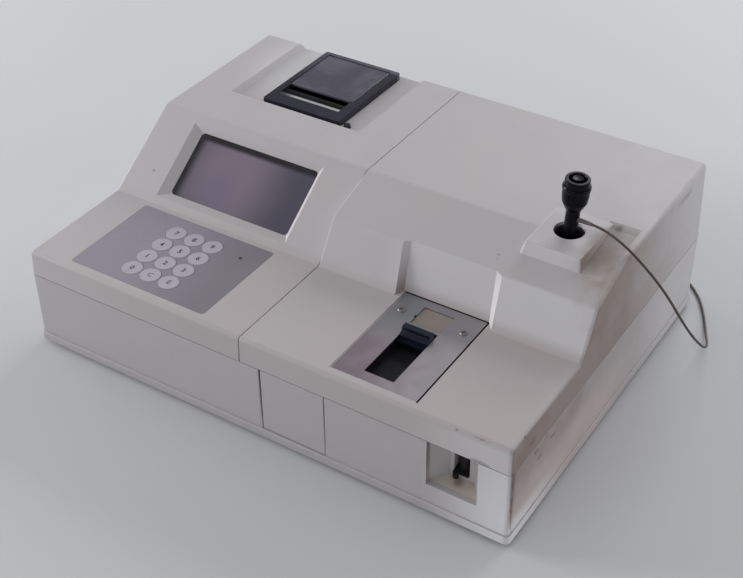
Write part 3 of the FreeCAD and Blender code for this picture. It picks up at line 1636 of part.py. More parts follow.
# Inside: chassis plate, electronics and the turntable that carries the slides
chassis_margin_left = 45.0
chassis_margin_right = 75.0
chassis_margin_rear = 42.0
chassis_front_y = 165.0
chassis_thickness = 2.0
standoff_height = 8.0
board_margin = 15.0
board_margin_front = 10.0
board_margin_rear = 33.0
board_thickness = 1.6
board_inset = 6.0
chip_height = 3.0
supply_width = 70.0
supply_height = 42.0
supply_margin_front = 25.0
supply_margin_rear = 18.0
supply_motor_gap = 51.0
turntable_inset = 150.0
turntable_y = 235.0
turntable_radius = 58.0
turntable_low = 92.0
turntable_thickness = 7.0
turntable_slots = 8
motor_radius = 21.0
motor_top = 84.0
motor_base = 34.0
shaft_radius = 3.0
chassis_left = -half_width + chassis_margin_left
chassis_right = half_width - chassis_margin_right
chassis_rear_y = body_depth - chassis_margin_rear
turntable_x = half_width - turntable_inset
supply_right = turntable_x - motor_base - supply_motor_gap
supply_left = supply_right - supply_width
supply_front_y = chassis_front_y + supply_margin_front
supply_rear_y = chassis_rear_y - supply_margin_rear
board_left = chassis_left + board_margin
board_right = supply_left - board_margin
board_front_y = chassis_front_y + board_margin_front
board_rear_y = chassis_rear_y - board_margin_rear

# Parts on the main board, as (x, y, width and depth) shares of the board
chip_shares = [(0.3, 0.62, 0.2, 0.16), (0.62, 0.64, 0.22, 0.1), (0.62, 0.44, 0.14, 0.12),
               (0.28, 0.34, 0.14, 0.1), (0.5, 0.92, 0.6, 0.06), (0.9, 0.45, 0.07, 0.5)]


def chassis_plate():
    low = inner_floor()
    plate = rounded_block(chassis_left, chassis_right, front + chassis_front_y, front + chassis_rear_y, low,
                          low + chassis_thickness, corner_radius)
    parts = [plate]
    for x in (board_left + board_inset, board_right - board_inset):
        for y in (board_front_y + board_inset, board_rear_y - board_inset):
            parts.append(post(x, front + y, low, low + chassis_thickness + standoff_height, board_inset / 2))
    vents = []
    for i in range(vent_count):
        x = vent_x + vent_pitch * (i - (vent_count - 1) / 2)
        y = rear - vent_rear_inset
        vents.append(rounded_block(x - vent_width / 2, x + vent_width / 2, y - vent_length / 2,
                                   y + vent_length / 2, 0, low + overrun, vent_width * slot_end_share))
    return without(joined(parts), vents)


def main_board():
    low = inner_floor() + chassis_thickness + standoff_height
    board = block(board_left, board_right, front + board_front_y, front + board_rear_y, low,
                  low + board_thickness)
    width, depth = board_right - board_left, board_rear_y - board_front_y
    parts = [board]
    for cx, cy, w, d in chip_shares:
        x, y = board_left + width * cx, front + board_front_y + depth * cy
        parts.append(block(x - width * w / 2, x + width * w / 2, y - depth * d / 2, y + depth * d / 2, low,
                           low + board_thickness + chip_height))
    return joined(parts)


def power_supply():
    low = inner_floor() + chassis_thickness
    case = block(supply_left, supply_right, front + supply_front_y, front + supply_rear_y, low,
                 low + supply_height)
    case = rounded(case, split_edge_radius, lambda p: p.z > low + supply_height / 2)
    slots = []
    length = supply_rear_y - supply_front_y
    for i in range(vent_count):
        y = front + supply_front_y + length * (i + 1) / (vent_count + 1)
        slots.append(block(supply_left + box_corner * 3, supply_right - box_corner * 3, y - vent_width / 2,
                           y + vent_width / 2, low + supply_height - box_wall, low + supply_height + overrun))
    return without(case, slots)


def rotor_motor():
    low = inner_floor() + chassis_thickness
    x, y = turntable_x, front + turntable_y
    base = block(x - motor_base, x + motor_base, y - motor_base, y + motor_base, low, low + wall)
    body = post(x, y, low, motor_top, motor_radius)
    body = rounded(body, box_wall, lambda p: p.z > motor_top - seat_gap)
    shaft = post(x, y, motor_top, turntable_low + turntable_thickness - seat_gap, shaft_radius)
    return joined([base, body, shaft])


def incubator_rotor():
    x, y = turntable_x, front + turntable_y
    disc = post(x, y, turntable_low, turntable_low + turntable_thickness, turntable_radius)
    hub = post(x, y, motor_top + running_gap, turntable_low, shaft_radius * 3)
    bore = post(x, y, turntable_low - overrun * 2, turntable_low + turntable_thickness,
                shaft_radius + running_gap / 2)
    cutters = [bore]
    for i in range(turntable_slots):
        half = slot_width() / 2
        bay = block(x - half, x + half, y + turntable_radius - slot_width(), y + turntable_radius + overrun,
                    turntable_low + turntable_thickness / 3, turntable_low + turntable_thickness + overrun)
        bay.rotate(Vector(x, y, 0), Vector(0, 0, 1), 360 * i / turntable_slots)
        cutters.append(bay)
    return without(joined([disc, hub]), cutters)


def slot_width():
    return window_right - window_left


os.makedirs("parts", exist_ok=True)
save("base_shell", base_shell())
save("cover_screws", cover_screws())
save("rubber_feet", rubber_feet())
save("fascia_left", fascia_left())
save("fascia_right", fascia_right())
save("alcove_insert", alcove_insert())
save("tip_dock", tip_dock())
save("drawer_front", drawer_front())
save("drawer_box", drawer_box())
save("left_cover", left_cover())
save("right_cover", right_cover())
save("keypad_overlay", keypad_overlay())
save("keypad_backer", keypad_backer())
save("status_lamp", status_lamp())
for name, (x, y) in zip(key_names, key_places()):
    save(name, key(x, y))
save("display_window", display_window())
save("display_module", display_module())
save("printer_housing", printer_housing())
save("printer_lid", printer_lid())
save("tear_bar", tear_bar())
save("platen_roller", platen_roller())
save("feed_button", feed_button())
save("slide_plate", slide_plate())
save("plate_screws", plate_screws())
save("slide_guide", slide_guide())
save("slide_bed", slide_bed())
save("slide_pusher", slide_pusher())
save("pipettor_holder", pipettor_holder())
save("pipettor_body", pipettor_body())
save("pipettor_ring", pipettor_ring())
save("pipettor_button", pipettor_button())
save("pipettor_nozzle", pipettor_nozzle())
save("cord_gland", cord_gland())
save("cord_run", cord_run())
save("cord_coil", cord_coil())
save("cord_tail", cord_tail())
save("cord_plug", cord_plug())
report_coil_gap()
save("rear_panel", rear_panel())
save("power_inlet", power_inlet())
save("power_rocker", power_rocker())
save("serial_port", serial_port())
save("cord_jack", cord_jack())
save("fan_frame", fan_frame())
save("fan_rotor", fan_rotor())
save("chassis_plate", chassis_plate())
save("main_board", main_board())
save("power_supply", power_supply())
save("rotor_motor", rotor_motor())
save("incubator_rotor", incubator_rotor())
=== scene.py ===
import math

import bpy
from mathutils import Matrix, Vector


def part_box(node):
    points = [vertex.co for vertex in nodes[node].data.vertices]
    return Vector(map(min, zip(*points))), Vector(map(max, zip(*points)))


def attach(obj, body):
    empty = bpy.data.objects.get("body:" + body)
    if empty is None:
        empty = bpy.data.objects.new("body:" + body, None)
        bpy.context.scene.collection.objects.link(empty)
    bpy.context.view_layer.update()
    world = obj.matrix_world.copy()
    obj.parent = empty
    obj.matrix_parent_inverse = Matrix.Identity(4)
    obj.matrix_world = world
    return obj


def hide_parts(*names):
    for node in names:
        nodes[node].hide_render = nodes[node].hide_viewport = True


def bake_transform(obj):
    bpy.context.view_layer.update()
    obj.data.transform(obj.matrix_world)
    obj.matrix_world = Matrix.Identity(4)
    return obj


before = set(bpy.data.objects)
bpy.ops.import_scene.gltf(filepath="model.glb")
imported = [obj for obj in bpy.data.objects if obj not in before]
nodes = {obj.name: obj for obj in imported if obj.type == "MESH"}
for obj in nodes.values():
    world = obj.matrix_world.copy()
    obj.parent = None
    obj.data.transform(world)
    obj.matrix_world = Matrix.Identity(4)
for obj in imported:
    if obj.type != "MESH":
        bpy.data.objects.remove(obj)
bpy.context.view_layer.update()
scene = bpy.context.scene
scene.view_settings.view_transform = "Standard"
X, Y, Z = range(3)


# Camera, from a fit to the photograph

eye = Vector((0.5725, -0.8842, 0.8384))
aim = Vector((0.0, 0.00133, 0.03773))
roll = math.radians(-0.65)
photo_width_px = 743
focal_length_px = 1382.79
sensor_width_mm = 36


def add_camera():
    ahead = (aim - eye).normalized()
    level = ahead.cross(Vector((0, 0, 1))).normalized()
    upright = level.cross(ahead)
    right = level * math.cos(roll) + upright * math.sin(roll)
    up = upright * math.cos(roll) - level * math.sin(roll)
    view = Matrix((right, up, -ahead)).transposed().to_4x4()
    view.translation = eye
    data = bpy.data.cameras.new("camera")
    data.sensor_width = sensor_width_mm
    data.lens = focal_length_px * sensor_width_mm / photo_width_px
    data.clip_end = 50
    camera = bpy.data.objects.new("camera", data)
    camera.matrix_world = view
    scene.collection.objects.link(camera)
    scene.camera = camera


add_camera()


# Cord: one spline from the pipettor's strain relief to the plug, on the same route as in part.py

def mm(*values):
    """A place given in millimetres, as in part.py, turned into the scene's metres."""
    return Vector(values) / 1000


# Strain relief, on the pipettor that leans in its holder: its place in millimetres, its lengths in metres
holder_x, holder_y = 189, 21
lean_height = 150
gland_rise = 27.4
lean = math.radians(2.9)
heading = math.radians(-6)
slope = math.radians(2)
gland_length = 0.019
gland_lead = 0.007
gland_root = mm(holder_x + gland_rise * math.sin(lean), holder_y, lean_height + gland_rise * math.cos(lean))
level_share = math.cos(slope)
gland_ahead = Vector((math.cos(heading) * level_share, math.sin(heading) * level_share, math.sin(slope)))
gland_tip = gland_root + gland_ahead * gland_length

# Coil of two layers on the table
cord_diameter = 0.0024
cord_lead = 0.017
coil_x, coil_y = 0.130, 0.224
coil_mid_radius = 0.0144
coil_rest_height = 0.00125
coil_turns = 5
coil_start_angle = 90
coil_pitch = cord_diameter * 1.2
climb_turns = 0.5
steps_per_turn = 16


def coil_point(turn, grow=1.0):
    """Winds inwards in the lower layer, climbs, and winds outwards again in the upper one."""
    angle = math.radians(coil_start_angle + 360 * turn)
    inward = min(turn, coil_turns - turn)
    radius = (coil_mid_radius - coil_pitch * coil_turns / 4 + coil_pitch * (coil_turns / 2 - inward)) * grow
    climb = min(1, max(0, (turn - coil_turns / 2 + climb_turns / 2) / climb_turns))
    height = coil_rest_height + coil_pitch * climb * climb * (3 - 2 * climb)
    return Vector((coil_x + radius * math.cos(angle), coil_y + radius * math.sin(angle), height))


def coil_tangent(turn):
    """The coil's direction, from two points close together."""
    nudge = 1e-4
    return (coil_point(turn + nudge) - coil_point(turn - nudge)).normalized()


route_after_gland = [
    (229.2, 18.3, 174.4), (243.8, 18.0, 167.0), (258.7, 19.5, 154.4), (271.7, 24.5, 137.8),
    (281.9, 33.0, 117.2), (289.0, 45.0, 93.5), (294.5, 60.5, 69.0), (298.5, 79.0, 46.0),
    (299.0, 101.0, 25.0), (294.0, 126.0, 9.0), (283.0, 152.0, 1.6), (271.0, 178.0, 1.23),
    (255.5, 203.0, 1.27), (233.0, 224.5, 1.23), (205.0, 238.5, 1.27), (176.0, 245.5, 1.23)]
route_to_plug = [(91.0, 244.5, 13.0), (81.0, 236.0, 24.5), (79.0, 222.0, 30.0), (79.0, 209.2, 30.0)]
leads = (cord_diameter + cord_lead, cord_diameter)
# A spline cuts the corners at its points, so the coil's points lie a little outside its line
outside = 1 / math.cos(math.pi / steps_per_turn)
route = [gland_tip, gland_tip + gland_ahead * gland_lead]
route += [mm(*place) for place in route_after_gland]
route += [coil_point(0) - coil_tangent(0) * lead for lead in leads]
route += [coil_point(i / steps_per_turn, outside) for i in range(coil_turns * steps_per_turn + 1)]
route += [coil_point(coil_turns) + coil_tangent(coil_turns) * lead for lead in reversed(leads)]
route += [mm(*place) for place in route_to_plug]


def spline_object(name, points, bevel):
    """A smooth curve near the points, as a line or, with a bevel, as a tube."""
    curve = bpy.data.curves.new(name, "CURVE")
    curve.dimensions = "3D"
    curve.resolution_u = 6
    curve.bevel_depth = bevel
    curve.bevel_resolution = 3
    spline = curve.splines.new("NURBS")
    spline.points.add(len(points) - 1)
    for point, place in zip(spline.points, points):
        point.co = (*place, 1)
    spline.order_u = 3
    spline.use_endpoint_u = True
    return bpy.data.objects.new(name, curve)


def mesh_from(obj):
    """The mesh of a curve or text object, which is then removed."""
    scene.collection.objects.link(obj)
    bpy.context.view_layer.update()
    mesh = bpy.data.meshes.new_from_object(obj.evaluated_get(bpy.context.evaluated_depsgraph_get()))
    bpy.data.objects.remove(obj)
    return mesh


line_mesh = mesh_from(spline_object("cord_line", route, 0))
cord = bpy.data.objects.new("pipettor_cord", mesh_from(spline_object("cord_tube", route, cord_diameter / 2)))
for polygon in cord.data.polygons:
    polygon.use_smooth = True
scene.collection.objects.link(cord)
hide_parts("cord_run", "cord_coil", "cord_tail")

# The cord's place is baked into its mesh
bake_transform(cord)


# Materials

def paint(obj, material):
    obj.data.materials.clear()
    obj.data.materials.append(material)


def shade(color, share):
    return tuple(c * share for c in color)


class Finish:
    """A node material built step by step, with positions in metres in the object's own frame."""

    # A mix node's two inputs and its output, by the kind of data
    mix_sockets = {"FLOAT": (2, 3, 0), "RGBA": (6, 7, 2)}

    def __init__(self, name, color, roughness, metallic=0.0, **sockets):
        self.material = bpy.data.materials.new(name)
        self.material.use_nodes = True
        self.tree = self.material.node_tree
        self.shader = self.tree.nodes["Principled BSDF"]
        self.shader.inputs["Metallic"].default_value = metallic
        for key, value in sockets.items():
            self.shader.inputs[key.replace("_", " ")].default_value = value
        self.place = self.tree.nodes.new("ShaderNodeTexCoord").outputs["Object"]
        self.color = color
        self.rough = roughness
        self.height = None

    def link(self, source, target):
        """Joins a socket to its target, or sets the target to a number or a colour."""
        if isinstance(source, (int, float)):
            target.default_value = source
        elif isinstance(source, tuple):
            target.default_value = (*source, 1)
        else:
            self.tree.links.new(source, target)

    def noise(self, scale, detail, squeeze=None, distortion=0.0):
        """Noise that is drawn out along an axis where its squeeze is below one."""
        node = self.tree.nodes.new("ShaderNodeTexNoise")
        node.inputs["Scale"].default_value = scale
        node.inputs["Detail"].default_value = detail
        node.inputs["Distortion"].default_value = distortion
        place = self.place
        if squeeze:
            mapping = self.tree.nodes.new("ShaderNodeMapping")
            mapping.inputs["Scale"].default_value = squeeze
            self.link(self.place, mapping.inputs["Vector"])
            place = mapping.outputs[0]
        self.link(place, node.inputs["Vector"])
        return node.outputs[0]

    def cells(self, scale):
        node = self.tree.nodes.new("ShaderNodeTexVoronoi")
        node.inputs["Scale"].default_value = scale
        self.link(self.place, node.inputs["Vector"])
        return node.outputs["Distance"]

    def ramp(self, value, low, high, start=0.0, end=1.0):
        """Goes smoothly from start, where the value is low, to end, where it is high."""
        node = self.tree.nodes.new("ShaderNodeMapRange")
        node.interpolation_type = "SMOOTHSTEP"
        for key, number in (("From Min", low), ("From Max", high), ("To Min", start), ("To Max", end)):
            node.inputs[key].default_value = number
        self.link(value, node.inputs["Value"])
        return node.outputs[0]

    def component(self, vector, axis):
        node = self.tree.nodes.new("ShaderNodeSeparateXYZ")
        self.link(vector, node.inputs[0])
        return node.outputs[axis]

    def along(self, axis, low, high, start=0.0, end=1.0):
        """A ramp of the place along an axis."""
        return self.ramp(self.component(self.place, axis), low, high, start, end)

    def before(self, axis, low, high):
        """One up to the low place on an axis, fading to zero at the high one."""
        return self.along(axis, low, high, start=1.0, end=0.0)

    def turned(self, axis, low, high, start=0.0, end=1.0):
        """A ramp of how far the surface is turned to an axis."""
        geometry = self.tree.nodes.new("ShaderNodeNewGeometry")
        return self.ramp(self.component(geometry.outputs["Normal"], axis), low, high, start, end)

    def around(self, centre, radius, soft, squeeze=(1, 1, 1)):
        """One near the centre, fading to zero outside the radius."""
        vector = self.place
        for operation, operand in (("SUBTRACT", centre), ("MULTIPLY", squeeze)):
            node = self.tree.nodes.new("ShaderNodeVectorMath")
            node.operation = operation
            self.link(vector, node.inputs[0])
            node.inputs[1].default_value = operand
            vector = node.outputs[0]
        size = self.tree.nodes.new("ShaderNodeVectorMath")
        size.operation = "LENGTH"
        self.link(vector, size.inputs[0])
        return self.ramp(size.outputs["Value"], radius, radius + soft, 1.0, 0.0)

    def product(self, product, *factors):
        """Masks and shares multiplied together."""
        for factor in factors:
            node = self.tree.nodes.new("ShaderNodeMath")
            node.operation = "MULTIPLY"
            self.link(product, node.inputs[0])
            self.link(factor, node.inputs[1])
            product = node.outputs[0]
        return product

    def mix(self, kind, mask, old, new):
        node = self.tree.nodes.new("ShaderNodeMix")
        node.data_type = kind
        first, second, result = self.mix_sockets[kind]
        self.link(mask, node.inputs[0])
        self.link(old, node.inputs[first])
        self.link(new, node.inputs[second])
        return node.outputs[result]

    def tint(self, color, *masks):
        """Lays a colour over the ones before it, as strongly as the product of the masks."""
        self.color = self.mix("RGBA", self.product(*masks), self.color, color)

    def roughen(self, mask, value):
        self.rough = self.mix("FLOAT", mask, self.rough, value)

    def bump(self, height, distance, strength):
        node = self.tree.nodes.new("ShaderNodeBump")
        node.inputs["Distance"].default_value = distance
        node.inputs["Strength"].default_value = strength
        self.link(height, node.inputs["Height"])
        if self.height is not None:
            self.link(self.height, node.inputs["Normal"])
        self.height = node.outputs[0]

    def done(self, *pieces):
        """Ends the material and gives it to these pieces."""
        self.link(self.color, self.shader.inputs["Base Color"])
        self.link(self.rough, self.shader.inputs["Roughness"])
        if self.height is not None:
            self.link(self.height, self.shader.inputs["Normal"])
        for name in pieces:
            paint(nodes[name], self.material)
        return self.material


# Moulded housing plastic, with stains and scuffs where the photograph shows them, and painted highlights and
# shade

cover_grey = (0.505, 0.474, 0.484)
base_grey = (0.470, 0.446, 0.458)
alcove_grey = (0.545, 0.518, 0.520)
scuff_black = (0.13, 0.10, 0.09)
right_wall_x = 0.2500

# Heights just above the decks, between which the decks' painted shade, a darker and warmer tint, fades out
deck_fade = (0.106, 0.112)


def housing(name, color, grime):
    """Fine-textured moulded plastic, faintly yellowed, with handling dirt and small specks."""
    f = Finish(name, color, roughness=0.50)
    yellowed = (color[0] * 1.03, color[1] * 0.985, color[2] * 0.94)
    f.tint(yellowed, f.ramp(f.noise(5.5, detail=3), 0.42, 0.68, end=0.35))
    f.tint(shade(color, 0.88), f.ramp(f.noise(26, detail=5), 0.5, 0.72, end=0.16))
    f.tint(shade(color, 0.86), f.ramp(f.noise(900, detail=2), 0.35, 0.65, end=0.10))
    streaks = f.ramp(f.noise(60, detail=6, squeeze=(1, 1, 0.18)), 0.52, 0.75)
    f.tint((0.30, 0.24, 0.20), streaks, f.turned(X, 0.6, 0.95), 0.22 * grime)
    specks = f.ramp(f.cells(95), 0.035, 0.06, start=1.0, end=0.0)
    rare = f.ramp(f.noise(14, detail=2), 0.60, 0.68)
    f.tint((0.16, 0.13, 0.11), specks, rare, 0.30 * grime)
    return f


def mark(f, centre, radius, depth, color=scuff_black, soft=0.0010, squeeze=(1, 1, 1)):
    """A small scuff or speck, broken up a little so that it doesn't read as a dot."""
    spot = f.around(centre, radius=radius, soft=soft, squeeze=squeeze)
    f.tint(color, spot, f.ramp(f.noise(700, detail=3), 0.3, 0.6, start=depth * 0.5, end=depth))


def worn_left_faces(f):
    """Inner faces turned to the left are painted lighter as a highlight; the outer left wall isn't."""
    turned_left = f.turned(X, -0.90, -0.35, start=0.65, end=0.0)
    inner = f.along(X, -0.245, -0.235)
    # Painted highlight on inner faces turned to the left
    f.tint((0.720, 0.700, 0.710), turned_left, inner)


def finish_housing(f):
    """Duller in patches, with a fine moulded texture and a slight waviness."""
    f.roughen(f.ramp(f.noise(40, detail=4), 0.4, 0.7), 0.58)
    f.bump(f.noise(1500, detail=3), distance=0.00009, strength=0.55)
    f.bump(f.noise(7, detail=2), distance=0.0004, strength=0.25)


def left_cover_plastic():
    """The deck is darker and warmer to the right as painted shade, and the rear of the printer's bay is paler
    as painted highlight.
    """
    f = housing("cover_plastic", cover_grey, grime=1.0)
    mark(f, (-0.2205, -0.0433, 0.1223), radius=0.0012, depth=0.6, color=(0.22, 0.18, 0.14))
    mark(f, (-0.0600, -0.1895, 0.0950), radius=0.0006, depth=0.5)
    deck = f.before(Z, *deck_fade)
    # Painted shade with a warmer tone on the deck, stronger to the right
    f.tint((0.450, 0.395, 0.388), deck, f.along(X, -0.24, -0.01, start=0.10, end=0.62))
    # Painted highlight on upward faces at the rear of the printer's bay
    bay_painted_highlight = f.around((-0.185, 0.150, 0.155), radius=0.012, soft=0.045, squeeze=(1, 0.6, 1))
    f.tint((0.640, 0.620, 0.630), bay_painted_highlight, f.turned(Z, 0.4, 0.9, end=0.7))
    worn_left_faces(f)
    finish_housing(f)
    f.done("left_cover")


def right_cover_plastic():
    """The right wall is stained brown in front and painted pale behind as highlight, as are the riser and
    front end; the deck has painted shade.
    """
    f = housing("cover_plastic_right", cover_grey, grime=1.0)
    deck = f.before(Z, *deck_fade)
    # Painted shade with a warmer tone on the deck, stronger to the right
    f.tint((0.450, 0.392, 0.385), deck, f.along(X, 0.0, 0.20, start=0.42, end=0.60))
    side = f.turned(X, 0.5, 0.95)
    forward = f.before(Y, -0.03, 0.12)
    patchy = f.ramp(f.noise(22, detail=5), 0.30, 0.65, start=0.72)
    f.tint((0.264, 0.200, 0.174), side, forward, patchy)
    # Painted highlight: the right wall paler towards the rear
    f.tint((0.640, 0.620, 0.635), side, f.along(Y, 0.08, 0.18, end=0.75))
    # Painted highlight on the riser's front-facing faces above the deck
    riser = f.turned(Y, -0.80, -0.25, start=0.85, end=0.0)
    f.tint((0.610, 0.590, 0.596), riser, f.along(Z, 0.106, 0.116), f.along(X, 0.045, 0.085, start=0.15))
    # Painted highlight on the front faces at the right end, below the deck
    front_end = f.turned(Y, -0.95, -0.5, start=1.0, end=0.0)
    f.tint((0.640, 0.622, 0.632), front_end, f.before(Z, 0.098, 0.104), f.along(X, 0.13, 0.24, end=0.75))
    worn_left_faces(f)
    pedestal_dirt(f, side)
    right_cover_scuffs(f)
    plate_groove_shadow(f)
    finish_housing(f)
    f.done("right_cover")


def pedestal_dirt(f, side):
    """Dirt gathers in the pocket beside the pipettor's pedestal and runs off to the front."""
    trough = f.around((0.231, 0.008, 0.155), radius=0.008, soft=0.024, squeeze=(1, 0.50, 1))
    patchy = f.ramp(f.noise(40, detail=5), 0.30, 0.70, start=0.25, end=0.75)
    f.tint((0.345, 0.275, 0.235), trough, patchy)
    pocket = f.around((0.2215, 0.018, 0.155), radius=0.004, soft=0.014, squeeze=(1, 0.4, 0.5))
    floor_only = f.turned(Z, 0.6, 0.9)
    patchy = f.ramp(f.noise(50, detail=4), 0.30, 0.70, start=0.50, end=0.85)
    f.tint((0.200, 0.150, 0.120), pocket, floor_only, patchy)
    pedestal = f.around((0.2161, 0.030, 0.160), radius=0.006, soft=0.012, squeeze=(1, 0.5, 0.6))
    f.tint((0.520, 0.460, 0.450), side, pedestal, 0.6)
    run_off = f.around((0.2455, -0.010, 0.150), radius=0.006, soft=0.022, squeeze=(1, 0.28, 0.8))
    patchy = f.ramp(f.noise(75, detail=5), 0.38, 0.66, start=0.1, end=0.6)
    f.tint((0.33, 0.26, 0.215), run_off, patchy)


def right_cover_scuffs(f):
    """Scuffs in the pocket and on the wall, specks along the edges, and a scratch at the front edge."""
    mark(f, (0.2225, 0.0500, 0.1590), radius=0.0008, depth=0.60, color=(0.12, 0.09, 0.08), soft=0.0026,
         squeeze=(0.8, 0.5, 0.5))
    mark(f, (0.2480, 0.1380, 0.1510), radius=0.0006, depth=0.50, color=(0.16, 0.14, 0.16), soft=0.0026,
         squeeze=(0.7, 0.13, 0.70))
    specks = (((0.2485, -0.1679, 0.1030), 0.0009), ((0.2480, -0.1300, 0.0990), 0.0007),
              ((0.2480, -0.1050, 0.0935), 0.0006), ((0.1998, -0.1893, 0.1040), 0.0014),
              ((0.1460, -0.0242, 0.1490), 0.0007), ((0.1468, -0.0290, 0.1470), 0.0008),
              ((0.0060, -0.0358, 0.1480), 0.0006))
    for place, radius in specks:
        mark(f, place, radius=radius, depth=0.75)
    scratch = f.around((0.2210, -0.1890, 0.1045), radius=0.0009, soft=0.0006, squeeze=(0.10, 0.8, 0.7))
    broken = f.ramp(f.noise(420, detail=4), 0.36, 0.54, start=0.25, end=0.90)
    f.tint((0.11, 0.085, 0.08), scratch, broken)
    mark(f, (0.2219, -0.1900, 0.0805), radius=0.0012, depth=0.55, color=(0.14, 0.11, 0.10), soft=0.0020,
         squeeze=(0.25, 1, 1))
    mark(f, (right_wall_x, -0.1560, 0.0890), radius=0.0006, depth=0.65, soft=0.0040, squeeze=(1, 0.45, 0.9))


def plate_groove_shadow(f):
    """The narrow groove round the slide plate is painted black inside as shadow."""
    left, right, front, rear, top = 0.0750, 0.1590, -0.1795, -0.0588, 0.1044
    edge = 0.0005
    top_edge = 0.0006
    # Painted shadow inside the groove
    f.tint((0.008, 0.008, 0.010), f.along(X, left - edge, left), f.before(X, right, right + edge),
           f.before(Y, rear, rear + edge), f.before(Z, top - top_edge, top), f.along(Y, front - edge, front))


def base_plastic():
    """The right wall has painted highlight low down in front, is stained brown above that, and has painted
    highlight behind and at the foot; the front has painted highlight at its right end.
    """
    f = housing("base_plastic", base_grey, grime=1.3)
    f.tint((0.30, 0.235, 0.195), f.along(Z, 0.002, 0.02, start=0.12, end=0.0))
    side = f.turned(X, 0.5, 0.95)
    # Painted highlight: the right wall paler low down, most at the front
    low_down = f.along(Z, 0.035, 0.070, start=0.85, end=0.0)
    f.tint((0.600, 0.508, 0.485), side, low_down, f.along(Y, -0.04, 0.06, start=1.0, end=0.2))
    # Painted highlight: the right wall paler towards the rear
    f.tint((0.680, 0.660, 0.670), side, f.along(Y, 0.02, 0.14, end=0.85))
    forward = f.along(Y, -0.10, 0.06, start=0.85, end=0.10)
    upper = f.along(Z, 0.030, 0.075, start=0.15)
    patchy = f.ramp(f.noise(30, detail=5), 0.30, 0.65, start=0.45)
    f.tint((0.320, 0.255, 0.225), side, forward, upper, patchy)
    # Painted highlight along the foot of the right wall, towards the front
    foot = f.before(Z, 0.014, 0.034)
    f.tint((0.900, 0.890, 0.900), side, foot, f.along(Y, -0.190, -0.070, start=0.95, end=0.0))
    corner_run = f.around((right_wall_x, -0.1860, 0.062), radius=0.0014, soft=0.0016, squeeze=(0.6, 1, 0.050))
    broken = f.ramp(f.noise(260, detail=3), 0.30, 0.60, start=0.45, end=0.90)
    f.tint((0.13, 0.090, 0.080), corner_run, broken)
    side_smudges(f)
    # Painted highlight on the front faces, towards the right end and low down
    right_end = f.along(X, 0.165, 0.248)
    front_only = f.turned(Y, -0.95, -0.5, start=1.0, end=0.0)
    f.tint((0.800, 0.785, 0.800), right_end, front_only, f.along(Z, 0.020, 0.090, start=0.95, end=0.65))
    finish_housing(f)
    f.done("base_shell", "fascia_left", "fascia_right", "drawer_front", "drawer_box")


def side_smudges(f):
    """Broken smudges on the right wall, each with its place and how far y and z are squeezed."""
    broken = f.ramp(f.noise(420, detail=4, squeeze=(1, 0.6, 1), distortion=0.8), 0.42, 0.58)
    smudges = ((-0.1305, 0.0745, 0.60, 1.3), (-0.1470, 0.0716, 0.55, 0.8), (-0.1405, 0.0605, 0.60, 0.9),
               (-0.1530, 0.0600, 0.80, 1.2), (-0.1180, 0.0660, 0.50, 1.5))
    for y, z, squeeze_y, squeeze_z in smudges:
        spot = f.around((right_wall_x, y, z), radius=0.0003, soft=0.0030, squeeze=(0.5, squeeze_y, squeeze_z))
        f.tint((0.12, 0.10, 0.09), spot, f.ramp(broken, 0.0, 1.0, start=0.15, end=0.95))


def alcove_plastic():
    """The sloping floor is dusty and has one dark spot below the tip."""
    f = housing("alcove_plastic", alcove_grey, grime=1.0)
    floor_only = f.turned(Z, 0.2, 0.8)
    patchy = f.ramp(f.noise(90, detail=5), 0.25, 0.65, start=0.35, end=0.85)
    f.tint((0.500, 0.415, 0.345), floor_only, patchy)
    f.tint((0.12, 0.085, 0.07), f.around((0.197, -0.176, 0.034), radius=0.001, soft=0.006), 0.7)
    finish_housing(f)
    f.done("alcove_insert")


left_cover_plastic()
right_cover_plastic()
base_plastic()
alcove_plastic()


# Keypad

cap_texts = {"key_0": "0", "key_clear": "C", "key_enter": "E"}
cap_texts.update({f"key_{i}": str(i) for i in range(1, 10)})


def overlay_print():
    """Printed film, with painted shade darker to the right."""
    f = Finish("overlay_print", (0.325, 0.296, 0.345), roughness=0.40)
    # Painted shade, darker towards the right
    f.tint((0.200, 0.184, 0.208), f.along(X, -0.170, -0.065, end=0.85))
    f.tint((0.275, 0.242, 0.275), f.ramp(f.noise(12, detail=3), 0.4, 0.7, end=0.25))
    f.tint((0.19, 0.17, 0.20), f.ramp(f.noise(700, detail=2), 0.4, 0.6, end=0.15))
    f.bump(f.noise(2600, detail=2), distance=0.00004, strength=0.5)
    f.done("keypad_overlay")


def key_cap():
    """Pale keys, a little grimy in places."""
    f = Finish("key_cap", (0.460, 0.422, 0.466), roughness=0.42)
    f.tint((0.36, 0.31, 0.33), f.ramp(f.noise(160, detail=4), 0.5, 0.75, end=0.25))
    f.bump(f.noise(1800, detail=2), distance=0.00004, strength=0.5)
    f.done(*cap_texts)


def ink(name, color):
    """Ink that is worn thin in specks."""
    f = Finish(name, color, roughness=0.5)
    f.tint(shade(color, 1.8), f.ramp(f.noise(900, detail=2), 0.45, 0.75, end=0.35))
    return f.done()


def legend(node, text, material):
    """A key's number or letter, printed on its cap."""
    low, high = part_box(node)
    curve = bpy.data.curves.new("legend_" + node, "FONT")
    curve.body = text
    curve.size = 0.0076
    curve.align_x = "CENTER"
    curve.align_y = "CENTER"
    curve.extrude = 0.00003
    curve.offset = 0.00014
    obj = bpy.data.objects.new("legend_" + node, mesh_from(bpy.data.objects.new("text", curve)))
    obj.data.transform(Matrix.Translation(((low.x + high.x) / 2, (low.y + high.y) / 2, high.z)))
    scene.collection.objects.link(obj)
    paint(obj, material)
    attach(obj, node + "_cap")


